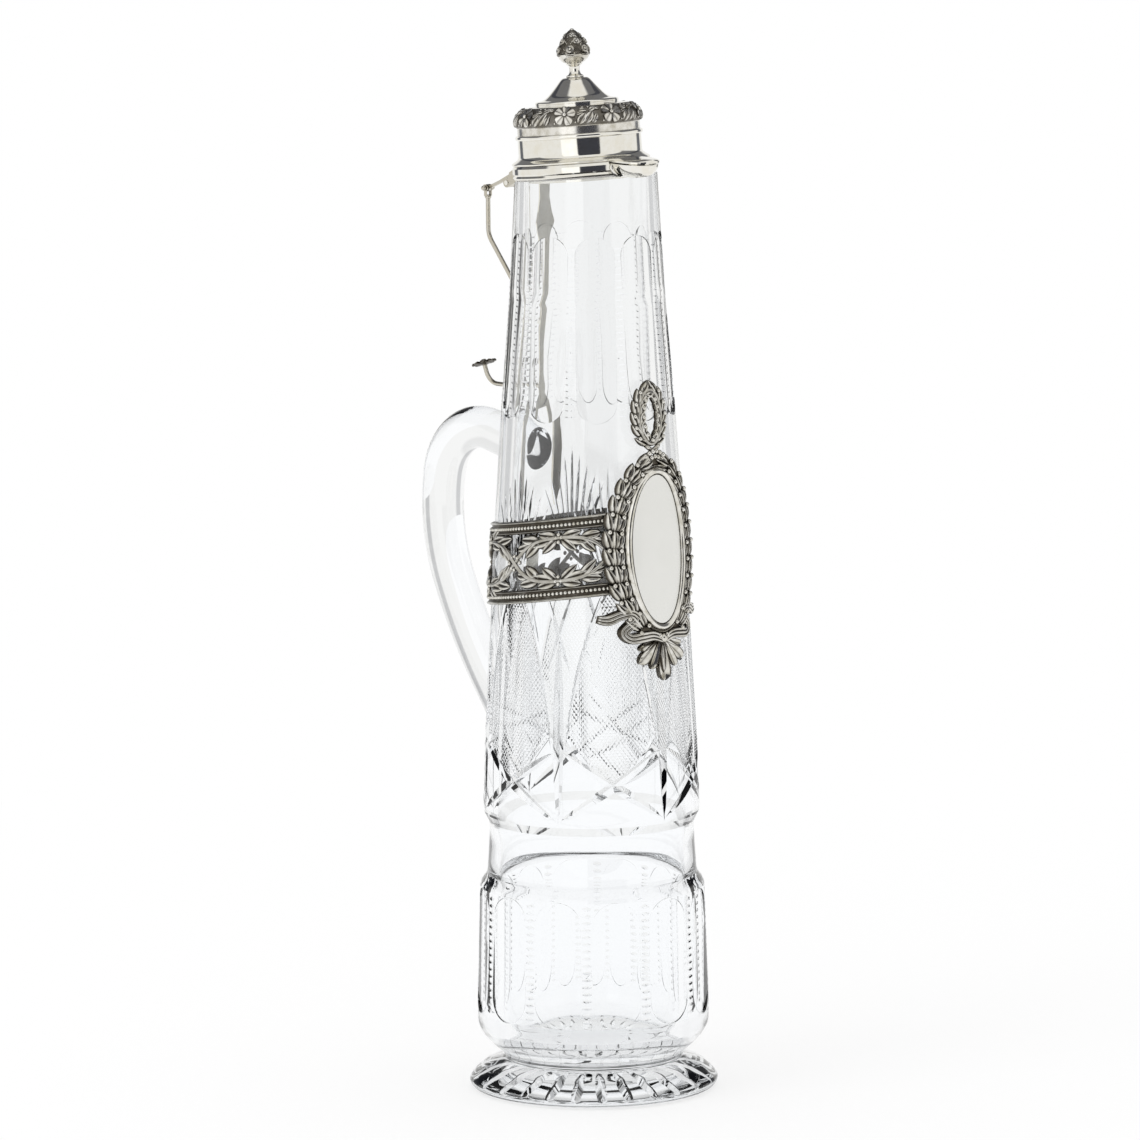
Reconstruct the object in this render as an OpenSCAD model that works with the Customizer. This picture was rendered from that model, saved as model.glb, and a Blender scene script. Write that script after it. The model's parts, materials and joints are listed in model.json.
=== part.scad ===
// Claret jug: a tall tapering cut-glass vessel with a silver neck mount, a hinged lid that a thumb rod
// opens, and a tilted openwork band that carries an oval cartouche.
// Millimetres. +Z is up. The origin is the centre of the foot's rest face. The spout and the cartouche
// face -Y and the handle is on +Y.

/* [Glass body] */
// Radius of the foot
foot_r = 49.3; // [47:0.1:52]
// Height at which the foot narrows into the vessel
foot_h = 12.5; // [11.5:0.1:13.5]
// Widest radius of the fluted base
base_r = 45.8; // [45:0.1:46.5]
// Height of the top of the fluted base
base_top = 82; // [81:0.1:83]
// Radius of the shoulder over the plain recess
shoulder_r = 42.7; // [42:0.1:43.5]
// Radius of the neck at the rim
rim_r = 27.7; // [27.5:0.1:28]
// Height of the floor of the inside
floor_z = 21; // [18:0.5:23]
// Number of flutes cut round the base
base_flutes = 12; // [8:1:14]
// Number of flutes cut round the neck
neck_flutes = 10; // [8:1:12]
// Number of tall mitre cuts round the middle
mitre_cuts = 6; // [4:1:8]
// Number of rays cut under the foot
foot_rays = 24; // [12:2:28]

/* [Handle] */
// Diameter of the handle
handle_d = 17; // [14:0.5:18]
// Height of the handle's axis where the top arch starts
handle_z = 256.85; // [254:0.05:258]
// Distance from the jug's axis to the start of the top arch
handle_y = 57.2; // [56:0.1:58]
// Upward slope of the handle where it leaves the neck, in degrees
handle_rise = 12.9; // [8:0.1:15]
// Bends of the handle from the top arch down: radius and angle
handle_bends = [[24.1, 92.2], [72, 35.2], [202, 12.3]];

/* [Neck mount] */
// Height of the joint between lid and collar, on the axis
cap_z = 367.5; // [366:0.1:368]
// Distance that the mount sits behind the jug's axis
cap_y = 2; // [1:0.1:2.5]
// Tilt of the mount and lid towards the handle, in degrees
cap_tilt = 5.3; // [4:0.1:6]
// Radius of the collar's flange
collar_r = 27.6; // [27:0.1:28]
// Height of the collar's flange
collar_h = 5.2; // [4.8:0.1:5.4]
// Reach of the spout beyond the flange's middle
spout_reach = 40.5; // [38:0.5:42]
// Droop of the spout against the collar, in degrees
spout_droop = 7; // [5:0.5:8]
// Radius of the spout's channel
channel_r = 8; // [7.5:0.1:8.2]

/* [Lid] */
// Radius of the lid's cylinder
lid_r = 24.2; // [24:0.1:24.6]
// Distance that the lid sits behind the collar's middle
lid_shift = 0.9; // [0.5:0.1:1]
// Height of the lid's cylinder
lid_h = 9.9; // [9:0.1:10.5]
// Height of the top of the chased band
band_top_h = 22.3; // [21.5:0.1:23]
// Height of the top of the dome
dome_h = 33.1; // [32:0.1:34]
// Height of the tip of the finial
finial_h = 52.4; // [50:0.1:54]

/* [Hinge and thumb rod] */
// Distance from the jug's axis to the hinge pin
hinge_y = 41; // [40.5:0.1:41.5]
// Height of the hinge pin
hinge_z = 357; // [356.5:0.1:357.5]
// Radius of the hinge pin
hinge_pin_r = 1; // [0.8:0.05:1.1]
// Radius of the hinge knuckles
knuckle_r = 1.9; // [1.8:0.1:2.2]
// Distance from the jug's axis to the link pin
link_y = 58.2; // [57.5:0.1:58.5]
// Height of the link pin
link_z = 353.4; // [353:0.1:354]
// Diameter of the thumb rod
rod_d = 2; // [1.8:0.1:2.4]
// Distance from the jug's axis to the rod's straight lower run
rod_y = 39; // [38.5:0.1:39.5]
// Radius of the thumbpiece
thumb_r = 5.1; // [4.5:0.1:5.5]

/* [Band and cartouche] */
// Height of the middle of the band, on the axis
band_z = 213.3; // [211:0.1:215]
// Height of the band
band_h = 32; // [30:0.5:34]
// Height of each beaded rim of the band
rim_h = 5; // [4:0.1:6]
// Rise of the band towards the front, in degrees
band_tilt = 8.4; // [6:0.1:9]
// Number of openwork cells round the band
band_cells = 16; // [12:1:18]
// Height of the middle of the cartouche
plaque_z = 219; // [217:0.5:221]
// Width and height of the plain oval plaque
plaque_size = [25, 58]; // [20:0.5:60]
// Width and height of the oval moulding round the plaque
frame_size = [34, 66]; // [30:0.5:70]
// Width and height of the laurel border
border_size = [45, 73]; // [40:0.5:76]

/* [Hidden] */
$fn = 96;

reach = 80;             // longer than any radius of the jug, for cutters
strap_t = 1.4;          // thickness of the back strap
lay = 0.1;              // gap between the glass and what lies on it
lid_gap = 0.15;         // gap under the closed lid
rod_r = rod_d / 2;
bed_t = 0.6;            // thickness of the plaster bedding
sleeve_r = 22;          // outer radius of the collar's inner sleeve
sleeve_t = 0.8;
sleeve_drop = 7;        // the sleeve reaches this far under the joint of lid and collar
lever_w = 4.6;          // width of the lever's knuckle
ear_gap = 0.3;          // side play between knuckles
ear_w = 2.8;
eye_w = 1.4;            // width of the lever's eye and arm
fork_w = 3.2;           // width of the rod's fork
link_r = 0.75;          // radius of the link pin
link_head_r = 1;        // radius of the balls on the link pin's ends
frame_lift = 2;         // height of the cartouche's back over the glass: it lies on the band's rims
rivet_r = 0.7;

// Middles and leans of the star cuts between the diamond fields and of the cuts that edge those fields.
star_az = 1;
star_tilt = 17.6;
field_az = 15.4;
field_tilt = 13.5;

// Outside of the glass, as [height, radius]; it tapers from the shoulder to the rim.
glass_outside = [
    [foot_h, 35.5], [14.6, 36.4], [17.6, 39.7], [21.6, 43.4], [25.7, base_r - 0.3], [30, base_r],
    [36, base_r], [base_top - 1, base_r - 1.4], [base_top + 0.6, base_r - 2.2], [84.5, shoulder_r - 1.2],
    [104, shoulder_r - 2.4], [107, shoulder_r - 2.1], [110.5, shoulder_r - 0.3], [113, shoulder_r],
    [138.5, 41.9], [213, 38], [273.8, 33.95], [313, 30.75], [345, 28.9], [372, rim_r - 0.3]];
// Inside of the glass, as [height, radius].
glass_inside = [
    [floor_z, 30], [floor_z + 1, 33], [floor_z + 4, 36], [floor_z + 9, 37.6], [base_top, 37.4], [100, 36.4],
    [113, 37], [138.5, 36.2], [213, 32.2], [273.8, 28.4], [313, 25.6], [345, 24.2], [372, 24]];

function glass_r(z) = lookup(z, glass_outside);
function taper(z) = atan((glass_r(z - 2) - glass_r(z + 2)) / 4);
function oval(size, n = 48) = [for (i = [0:n - 1]) let (a = 360 * i / n)
    [size.x / 2 * cos(a), size.y / 2 * sin(a)]];
function leafy(size, leaves, depth) = [for (i = [0:6 * leaves - 1]) let (a = 60 * i / leaves,
    swell = 1 + depth * cos(leaves * a)) [size.x / 2 * cos(a) * swell, size.y / 2 * sin(a) * swell]];

// Outline made of its right half and that half mirrored.
function both_sides(half) = concat(half, [for (i = [len(half) - 1:-1:0]) [-half[i].x, half[i].y]]);

// The frame of the tilted neck mount: its z = 0 is the joint between collar and lid.
module cap_frame() translate([0, cap_y, cap_z]) rotate([-cap_tilt, 0, 0]) children();
module lid_frame() cap_frame() translate([0, lid_shift, 0]) children();
// The frame of the spout: its z = 0 is the spout's rim and -y runs out along it.
spout_root = 24;
module spout_frame() cap_frame() translate([0, -spout_root, 0]) rotate([spout_droop, 0, 0]) children();
module band_frame() translate([0, 0, band_z]) rotate([-band_tilt, 0, 0]) children();

// Ring that follows the glass from z0 to z1, between two heights over its surface.
module skin(low, high, z0, z1) {
    zs = [z0, for (p = glass_outside) if (p[0] > z0 && p[0] < z1) p[0], z1];
    n = len(zs);
    rotate_extrude()
        polygon([for (z = zs) [glass_r(z) + low, z], for (i = [n - 1:-1:0]) [glass_r(zs[i]) + high, zs[i]]]);
}
// Flat shape pushed through the front (-Y) or the back (+Y) of the jug; its y is the height.
module front_cut(from = 0) rotate([90, 0, 0]) translate([0, 0, from]) linear_extrude(reach - from) children();
module back_cut() rotate([90, 0, 0]) translate([0, 0, -reach]) linear_extrude(reach) children();
// Flat shape in the YZ plane, given the width along X.
module side_plate(w) rotate([90, 0, 90]) translate([0, 0, -w / 2]) linear_extrude(w) children();
module x_pin(r, w, y, z) translate([-w / 2, y, z]) rotate([0, 90, 0]) cylinder(r = r, h = w);

// Centre line in the YZ plane, as rings of [y, z, heading]. Each step is [length, bend radius, bend angle],
// and a positive angle turns clockwise. The heading is 0 along +y and 90 along +z.
function bend(steps, y, z, h, i = 0) = i == len(steps) ? [] :
    let (run = steps[i][0], r = steps[i][1], a = steps[i][2], side = sign(a), parts = ceil(abs(a) / 11),
         y1 = y + run * cos(h), z1 = z + run * sin(h),
         cy = y1 + side * r * sin(h), cz = z1 - side * r * cos(h),
         arc = [for (k = [1:1:parts]) let (t = h - a * k / parts)
             [cy - side * r * sin(t), cz + side * r * cos(t), t]],
         last = a == 0 ? [y1, z1, h] : arc[parts - 1])
    concat(run > 0 ? [[y1, z1, h]] : [], arc, bend(steps, last[0], last[1], last[2], i + 1));
// Round bar along such a centre line.
module bar(r, rings, sides) {
    n = len(rings);
    points = [for (p = rings, s = [0:sides - 1]) let (a = 360 * s / sides)
        [r * cos(a), p[0] - r * sin(a) * sin(p[2]), p[1] + r * sin(a) * cos(p[2])]];
    walls = [for (i = [0:n - 2], s = [0:sides - 1]) let (a = i * sides + s, b = i * sides + (s + 1) % sides)
        each [[a, b, b + sides], [a, b + sides, a + sides]]];
    ends = [[for (s = [sides - 1:-1:0]) s], [for (s = [0:sides - 1]) (n - 1) * sides + s]];
    polyhedron(points, concat(walls, ends));
}

// ---- Glass ----

// Flat-ground panel with round ends, upright at the front.
module panel_cut(w, z0, z1, depth) {
    mid = (z0 + z1) / 2;
    half = (z1 - z0) / 2;
    lean = atan((glass_r(z0) - glass_r(z1)) / (z1 - z0));
    translate([0, depth - glass_r(mid), mid]) rotate([90 - lean, 0, 0]) linear_extrude(reach) {
        for (s = [-1, 1]) translate([0, s * (half - w / 2)]) circle(d = w);
        square([w, 2 * half - w], center = true);
    }
}
// Straight V-shaped cut at the front, deepest in its middle; tilt leans its top towards +X.
module mitre_cut(z0, z1, w, depth, tilt = 0) {
    mid = (z0 + z1) / 2;
    translate([0, -glass_r(mid) - w / sqrt(2) + depth, mid]) rotate([-taper(mid), 0, 0]) rotate([0, tilt, 0])
        rotate([0, 0, 45]) cube([w, w, (z1 - z0) / cos(tilt)], center = true);
}
// Long slanting V-shaped cut at the front, part of a large tilted ring that runs out of the glass at both
// ends; rise is the height from its middle to an end and arc the angle round the jug.
module cross_cut(z, rise, arc, half_w, depth) {
    r = glass_r(z);
    slope = atan(rise / (r * sin(arc)));
    run = r * sin(arc) / cos(slope);
    bow = r - depth - r * cos(arc);
    ring_r = (run * run + bow * bow) / (2 * bow);
    top = 4;
    translate([0, ring_r - r + depth, z]) rotate([0, -slope, 0]) rotate_extrude()
        polygon([[ring_r, 0], [ring_r + top, half_w * top / depth], [ring_r + top, -half_w * top / depth]]);
}
module glass_envelope() {
    n = len(glass_outside);
    rotate_extrude() polygon([
        [0, 0], [foot_r - 3.4, 0], [foot_r - 1.2, 0.8], [foot_r, 2.4], [foot_r - 0.5, 4],
        [foot_r - 5.8, 9.5], [37.4, 11],
        for (p = glass_outside) [p[1], p[0]], [0, glass_outside[n - 1][0]]]);
}
module glass_body() color([0.86, 0.91, 0.95, 0.5]) difference() {
    glass_envelope();
    rotate_extrude() polygon([[0, floor_z], for (p = glass_inside) [p[1], p[0]], [0, 372]]);
    cap_frame() translate([0, 0, -collar_h - bed_t]) cylinder(r = reach, h = reach);
    for (i = [0:base_flutes - 1]) rotate([0, 0, 360 * i / base_flutes]) panel_cut(19.2, 31, 81, 1.05);
    for (i = [0:neck_flutes - 1]) rotate([0, 0, 360 * i / neck_flutes]) panel_cut(15.8, 268.5, 341, 1.05);
    for (i = [0:mitre_cuts - 1]) rotate([0, 0, 360 * i / mitre_cuts]) {
        mitre_cut(116, 180, 7, 2);
        for (s = [0, 1]) mirror([s, 0, 0]) {
            rotate([0, 0, star_az]) mitre_cut(172, 204, 3, 0.9, star_tilt);
            rotate([0, 0, field_az]) mitre_cut(141, 205, 3, 1.1, field_tilt);
            rotate([0, 0, 180 / mitre_cuts]) cross_cut(127, 14, 29, 2, 1.35);
        }
    }
    for (i = [0:foot_rays - 1]) rotate([0, 0, 360 * (i + 0.5) / foot_rays])
        translate([0, -15, 0]) rotate([90, 0, 0]) cylinder(r = 1.6, h = 26);
}
module glass_handle() color([0.86, 0.91, 0.95, 0.5]) difference() {
    stub = 24;
    tail = 33;
    start = [handle_y - stub * cos(handle_rise), handle_z - stub * sin(handle_rise), handle_rise];
    steps = [[stub, 0, 0], for (b = handle_bends) [0, b[0], b[1]], [tail, 0, 0]];
    bar(handle_d / 2, concat([start], bend(steps, start[0], start[1], start[2])), 20);
    glass_envelope();
}

// ---- Neck mount ----

// Channel of the spout, grown by t; it also opens the front of the collar.
module channel(t) {
    floor_drop = 4.6;
    spout_frame() translate([0, 4, channel_r - floor_drop]) rotate([90, 0, 0])
        cylinder(r = channel_r + t, h = 26);
}
// Plan of the spout's nose, for the spout and for the beak that covers it.
module nose_plan(grow = 0) {
    half = 8.6 + grow;
    nose = spout_reach - spout_root - 5 + grow;
    polygon([[half, 4], for (a = [0:12:180]) [half * cos(a), -5 - nose * sin(a)], [-half, 4]]);
}
module collar_drum() cap_frame() translate([0, 0, -collar_h - bed_t])
    cylinder(r = collar_r, h = collar_h + bed_t);
module collar() color("silver") difference() {
    cap_frame() rotate_extrude() polygon([
        [sleeve_r - sleeve_t, -sleeve_drop], [sleeve_r, -sleeve_drop], [sleeve_r, -collar_h],
        [collar_r - 0.2, -collar_h],
        [collar_r, -collar_h + 0.6], [collar_r - 0.4, -collar_h + 1.4], [collar_r, -collar_h + 2],
        [collar_r, -1], [collar_r - 0.6, 0], [sleeve_r - sleeve_t, 0]]);
    channel(0);
}
module bedding_ring() color("gainsboro") cap_frame() translate([0, 0, -collar_h - bed_t]) difference() {
    cylinder(r = collar_r - 1, h = bed_t);
    translate([0, 0, -1]) cylinder(r = sleeve_r + 2.4, h = bed_t + 2);
}
module spout() color("silver") difference() {
    intersection() {
        channel(1.2);
        spout_frame() translate([0, 0, -8]) linear_extrude(7.7) nose_plan();
    }
    channel(0);
    cap_frame() translate([0, 0, -20]) cylinder(r = collar_r, h = 30);
    intersection() {
        glass_envelope();
        cap_frame() translate([0, 0, -collar_h - bed_t - 20]) cylinder(r = reach, h = 20);
    }
}

// ---- Hinge ----

module hinge_bracket() color("silver") difference() {
    root = [[27, 360.4], [27, 364], [33, 363.4], [33.6, 358.6]];
    ear_x = lever_w / 2 + ear_gap;
    union() {
        side_plate(2 * ear_x) polygon(root);
        for (s = [-1, 1]) translate([s * (ear_x + ear_w / 2), 0, 0]) side_plate(ear_w) {
            polygon(root);
            polygon([[33, 362.6], [hinge_y - 0.5, hinge_z + knuckle_r - 0.1],
                     [hinge_y - 0.5, hinge_z - knuckle_r + 0.1], [33.6, 358.6]]);
            translate([hinge_y, hinge_z]) circle(knuckle_r);
        }
    }
    x_pin(hinge_pin_r, 40, hinge_y, hinge_z);
    collar_drum();
}
module hinge_pin() color("silver")
    x_pin(hinge_pin_r, lever_w + 2 * (ear_gap + ear_w) + 0.6, hinge_y, hinge_z);

// ---- Back strap and guides ----

// Right half of the strap from the collar down, as [half width, height]; its legs straddle the handle.
strap_half = [[3.4, 359.1], [3.1, 351], [4.4, 345.5], [6, 341.5], [4.6, 337.5], [3.4, 335], [3, 326],
              [3.3, 316], [2.7, 305], [3.1, 292], [2.7, 281], [4.6, 276.5], [4.2, 273.5], [8.5, 270.5],
              [12, 264], [13.4, 252], [13.2, 236], [11.4, 228], [9.6, 236], [9.8, 252], [9.2, 262],
              [6, 268.2]];
module back_strap() color("silver") intersection() {
    skin(lay, lay + strap_t, 225, 361);
    back_cut() polygon(both_sides(strap_half));
}
// Eye on the strap; its slot lets the rod lean as the lid opens.
module rod_guide(z, slot) color("silver") difference() {
    plate_t = 1.6;
    play = 0.3;
    root_y = glass_r(z) - 2;
    translate([0, 0, z - plate_t / 2]) linear_extrude(plate_t) difference() {
        union() {
            translate([-2.8, root_y]) square([5.6, rod_y + slot / 2 - root_y]);
            translate([0, rod_y + slot / 2]) circle(2.8);
        }
        for (s = [-1, 1]) translate([0, rod_y + s * slot / 2]) circle(rod_r + play);
        translate([-rod_r - play, rod_y - slot / 2]) square([rod_d + 2 * play, slot]);
    }
    rotate_extrude() polygon([[0, z - 3], [glass_r(z - 3) + lay + strap_t, z - 3],
                              [glass_r(z + 3) + lay + strap_t, z + 3], [0, z + 3]]);
}
module upper_guide() rod_guide(302, 3.6);
module lower_guide() rod_guide(286, 2);

// ---- Band ----

module band_slab(z0, z1) band_frame() translate([0, 0, z0]) cylinder(r = reach, h = z1 - z0);
module band_ring(low, high, z0, z1) intersection() {
    skin(low, high, band_z - 30, band_z + 30);
    band_slab(z0, z1);
}
module band_rivet_places(r) for (x = [-2.4, 2.4], h = [-8, 8])
    translate([x, 30, band_z - 6 + h]) rotate([-90, 0, 0]) cylinder(r = r, h = 20);
module band_upper_rim() color("darkgray") band_ring(0.3, 2, band_h / 2 - rim_h, band_h / 2);
module band_lower_rim() color("darkgray") band_ring(0.3, 2, -band_h / 2, rim_h - band_h / 2);
module band_openwork() color("darkgray") difference() {
    half = band_h / 2 - rim_h;
    band_ring(0.3, 1.6, -half, half);
    band_frame() for (i = [0:band_cells - 1]) {
        rotate([0, 0, 360 * i / band_cells]) front_cut(30)
            polygon([[-5.6, 0], [-3, 6], [0, 7.6], [3, 6], [5.6, 0], [3, -6], [0, -7.6], [-3, -6]]);
        rotate([0, 0, 360 * (i + 0.5) / band_cells]) front_cut(30) for (s = [0, 1])
            mirror([0, s]) polygon([[0, 3.4], [3.2, half - 1.2], [-3.2, half - 1.2]]);
    }
}
module band_lap() color("darkgray") difference() {
    intersection() {
        band_ring(1.6, 2.3, rim_h - band_h / 2, band_h / 2 - rim_h);
        back_cut() translate([-4, band_z - reach / 2]) square([8, reach]);
    }
    band_rivet_places(rivet_r);
}
module band_rivets() color("silver") intersection() {
    skin(1.6, 2.6, band_z - 30, band_z + 30);
    band_rivet_places(rivet_r);
}

// ---- Cartouche ----

module cluster_plan() for (p = [[-2.3, 254.6], [2.3, 254.6], [0, 257.6]]) translate(p) circle(2.2);
// Right half of the bow under the plaque: loop, ribbon end rising at the side, and tail.
bow_half = [[1, 184], [5, 186], [10.6, 188], [16, 193.5], [20, 198], [24, 195.5], [21.5, 190], [17, 189.5],
            [14.5, 184], [13, 179.5], [7, 177.6], [4.4, 177.4], [7.5, 171.5], [6, 167.5], [3.2, 170],
            [0.8, 174.5]];
bow_hole = [[5, 182.4], [8.5, 184.6], [11.5, 183.8], [10.5, 181], [7, 180.4]];
module bow_plan() difference() {
    polygon(both_sides(bow_half));
    for (s = [0, 1]) mirror([s, 0]) polygon(bow_hole);
}
module border_plan() translate([0, plaque_z]) polygon(leafy(border_size, 18, 0.035));
module frame_plan() translate([0, plaque_z]) polygon(oval(frame_size));
module plaque_plan() translate([0, plaque_z]) polygon(oval(plaque_size));
// Ornament that follows the jug's front, between two heights over the glass.
module on_front(low, high) intersection() {
    skin(low, high, 160, 292);
    front_cut() children();
}
module plaque() color("gainsboro") on_front(frame_lift, frame_lift + 1.6) plaque_plan();
module plaque_frame() color("silver") on_front(frame_lift, frame_lift + 2.8) difference() {
    frame_plan();
    plaque_plan();
}
module laurel_border() color("darkgray") on_front(frame_lift, frame_lift + 2) difference() {
    border_plan();
    frame_plan();
    bow_plan();
    cluster_plan();
}
module ribbon_bow() color("darkgray") on_front(frame_lift - 1, frame_lift + 2.2) difference() {
    bow_plan();
    frame_plan();
}
module berry_cluster() color("darkgray") on_front(frame_lift - 1, frame_lift + 2.6) cluster_plan();
wreath_z = 270.5;       // height of the middle of the open wreath over the plaque
module top_wreath() color("darkgray") on_front(frame_lift - 1, frame_lift + 1.2) difference() {
    translate([0, wreath_z]) polygon(leafy([19.6, 28.5], 14, 0.05));
    translate([0, wreath_z]) polygon(oval([9, 17]));
    cluster_plan();
    border_plan();
}

// ---- Lid ----

wall = 1;
module lid_ring(points) lid_frame() rotate_extrude() polygon(points);
lid_outline = [[collar_r - 0.7, lid_gap], [collar_r - 0.5, 0.8], [26.2, 1.4], [lid_r + 0.7, 2.3],
               [lid_r, 3.3], [lid_r, lid_h]];
module lid_envelope() lid_ring([[0, lid_gap], each lid_outline, [0, lid_h]]);
module lid_shell() color("silver") lid_ring([
    each lid_outline, [lid_r - wall, lid_h], [lid_r - wall, 3], [20.9, 1.4], [20.9, lid_gap]]);
module lid_beak() color("silver") difference() {
    spout_frame() translate([0, 0, lid_gap + 0.1]) linear_extrude(1.1) nose_plan(0.4);
    lid_envelope();
    cap_frame() translate([0, 0, -10]) cylinder(r = collar_r + 0.2, h = 10 + lid_gap);
    lid_frame() translate([0, 0, -10]) cylinder(r = lid_r, h = 20);
}
module lid_bead() color("silver") lid_ring([
    [lid_r - wall, lid_h], [lid_r + 0.2, lid_h], [lid_r + 0.8, lid_h + 0.5], [lid_r + 0.8, lid_h + 1.3],
    [lid_r + 0.2, lid_h + 1.8], [lid_r - wall, lid_h + 1.8]]);
// The sleeve hangs inside the collar's, clear of it all round although the lid sits further back.
module lid_bezel() color("silver") lid_ring([
    [18.4, -2], [19.3, -2], [19.3, lid_gap], [20.9, lid_gap], [20.9, 1.4], [18.4, 1.4]]);
module lid_band() color("silver") lid_ring([
    [lid_r - 0.2, lid_h + 1.8], [lid_r - 0.2, 13.7], [lid_r + 0.7, 14.6], [lid_r + 0.8, 16],
    [lid_r + 0.2, 18.6], [lid_r - 1.6, 21], [20.6, band_top_h], [20.6 - wall, band_top_h - 0.9],
    [lid_r - 2.8, 20.2], [lid_r - 1.2, 18], [lid_r - 1.2, lid_h + 1.8]]);
module lid_dome() color("silver") lid_ring([
    [20.6, band_top_h], [16, 22.8], [16.2, 23.4], [16, 24.3], [13.6, 24.6], [11.6, 25.9], [10, 27.5],
    [8.1, 29.5], [6.5, 31.5], [4.6, dome_h], [1.2, dome_h], [1.2, dome_h - wall], [4.2, dome_h - wall],
    [5.6, 30.8], [7.2, 28.7], [9.1, 26.7], [10.8, 25], [13, 23.6], [15, 22],
    [20.6 - wall, band_top_h - 0.9]]);
module finial_stem() color("silver") lid_frame() {
    rotate_extrude() polygon([
        [0, dome_h], [3.3, dome_h], [3.4, dome_h + 0.7], [2.4, dome_h + 1.5], [2, dome_h + 3],
        [2.1, dome_h + 4.2], [3.1, dome_h + 5.2], [3.7, dome_h + 5.9], [0, dome_h + 5.9]]);
    translate([0, 0, dome_h - 3.6]) cylinder(r = 1.2, h = 3.6);
}
module finial() color("silver") lid_frame() rotate_extrude() polygon([
    [0, dome_h + 5.9], [3.7, dome_h + 5.9], [5.3, 40.6], [6.3, 42], [6.7, 43.4], [6.1, 45.6], [4.9, 47.8],
    [3, 50], [1.4, 51.6], [0, finial_h]]);
module finial_nut() color("goldenrod") lid_frame() translate([0, 0, dome_h - wall - 1.8]) difference() {
    cylinder(r = 3, h = 1.8, $fn = 6);
    translate([0, 0, -1]) cylinder(r = 1.2, h = 4);
}
module lid_lever() color("silver") difference() {
    union() {
        side_plate(lever_w) {
            polygon([[22, 365.8], [22, 368.6], [29, 367.4], [34.5, 365.7], [39.5, 363.1], [43, 360.8],
                     [hinge_y + 1.8, hinge_z + 0.6], [hinge_y, hinge_z], [hinge_y - 1.8, hinge_z + 0.6],
                     [38.4, 361.2], [33.5, 364.2], [29, 365]]);
            translate([hinge_y, hinge_z]) circle(knuckle_r);
        }
        side_plate(eye_w) {
            polygon([[39.5, 363.1], [44.5, 360.3], [50.5, 357.3], [link_y, link_z + 1], [link_y, link_z - 1],
                     [50, 355.6], [44, 358.4], [hinge_y, hinge_z + 1]]);
            translate([link_y, link_z]) circle(1.5);
        }
    }
    x_pin(hinge_pin_r + 0.05, 20, hinge_y, hinge_z);
    x_pin(link_r + 0.05, 20, link_y, link_z);
    lid_envelope();
    lid_frame() translate([0, 0, -10]) cylinder(r = lid_r - 0.2, h = 30);
    cap_frame() translate([0, 0, -10]) cylinder(r = collar_r + 0.3, h = 10 + lid_gap + 0.1);
}

// ---- Thumb rod ----

rod_top = link_z - 3.4;
// Turned in one piece; the balls on its ends close on the rims of the fork's holes.
module link_pin() color("silver") {
    steps = 10;
    head_x = fork_w / 2 + sqrt(link_head_r * link_head_r - link_r * link_r) + 0.02;
    neck = 180 - asin(link_r / link_head_r);
    head = [for (i = [0:steps]) let (t = neck * i / steps)
        [link_head_r * sin(t), head_x + link_head_r * cos(t)]];
    translate([0, link_y, link_z]) rotate([0, 90, 0]) rotate_extrude()
        polygon(concat(head, [for (i = [steps:-1:0]) [head[i].x, -head[i].y]]));
}
rod_kink = 40;          // lean of the rod where it steps in towards the neck
rod_bends = [8, 14, 7.5, 7];
rod_slant = (link_y - rod_y - (rod_bends[0] + rod_bends[1]) * (1 - cos(rod_kink))) / sin(rod_kink);
rod_line = bend([[12.5, rod_bends[0], rod_kink], [rod_slant, rod_bends[1], -rod_kink],
                 [23.6, rod_bends[2], -90], [7.3, rod_bends[3], -69], [3, 0, 0]], link_y, rod_top, -90);
rod_end = rod_line[len(rod_line) - 1];
module pull_rod() color("silver") {
    slot_w = eye_w + 0.5;
    bar(rod_r, concat([[link_y, rod_top + 0.6, -90]], rod_line), 12);
    difference() {
        side_plate(fork_w) {
            translate([link_y, link_z]) circle(1.5);
            translate([link_y - 1.1, rod_top]) square([2.2, link_z - rod_top]);
        }
        side_plate(slot_w) {
            translate([link_y, link_z]) circle(1.9);
            translate([link_y - 2.1, link_z - 1.9]) square([4.2, 6]);
        }
        x_pin(link_r, 20, link_y, link_z);
    }
}
// The thumbpiece is riveted square on the rod's end.
module thumb_frame() translate([0, rod_end[0], rod_end[1]]) rotate([rod_end[2] - 90, 0, 0]) children();
module thumbpiece() color("silver") thumb_frame() linear_extrude(1.2) difference() {
    union() {
        circle(0.72 * thumb_r);
        for (i = [0:7]) rotate(45 * i) translate([0.7 * thumb_r, 0]) circle(0.3 * thumb_r);
    }
    circle(0.6);
}
module thumb_rivet() color("silver") thumb_frame() {
    cylinder(r = 0.6, h = 1.2);
    translate([0, 0, 1.2]) cylinder(r1 = 1.5, r2 = 0.8, h = 0.7);
}

glass_body();
glass_handle();
collar();
bedding_ring();
spout();
hinge_bracket();
hinge_pin();
back_strap();
upper_guide();
lower_guide();
band_upper_rim();
band_lower_rim();
band_openwork();
band_lap();
band_rivets();
plaque();
plaque_frame();
laurel_border();
top_wreath();
berry_cluster();
ribbon_bow();
lid_shell();
lid_beak();
lid_bead();
lid_bezel();
lid_band();
lid_dome();
finial_stem();
finial();
finial_nut();
lid_lever();
link_pin();
pull_rod();
thumbpiece();
thumb_rivet();
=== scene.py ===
"""Looks of the claret jug: cut glass, silver neck mount, hinged lid with its thumb rod, openwork band and
cartouche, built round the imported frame. Lengths are in millimetres until a mesh is finished, then metres.
"az" is the angle round the jug's axis in degrees: 0 is the front (-Y), 90 is +X."""

import json
import math

import bmesh
import bpy
from mathutils import Matrix, Vector


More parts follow.
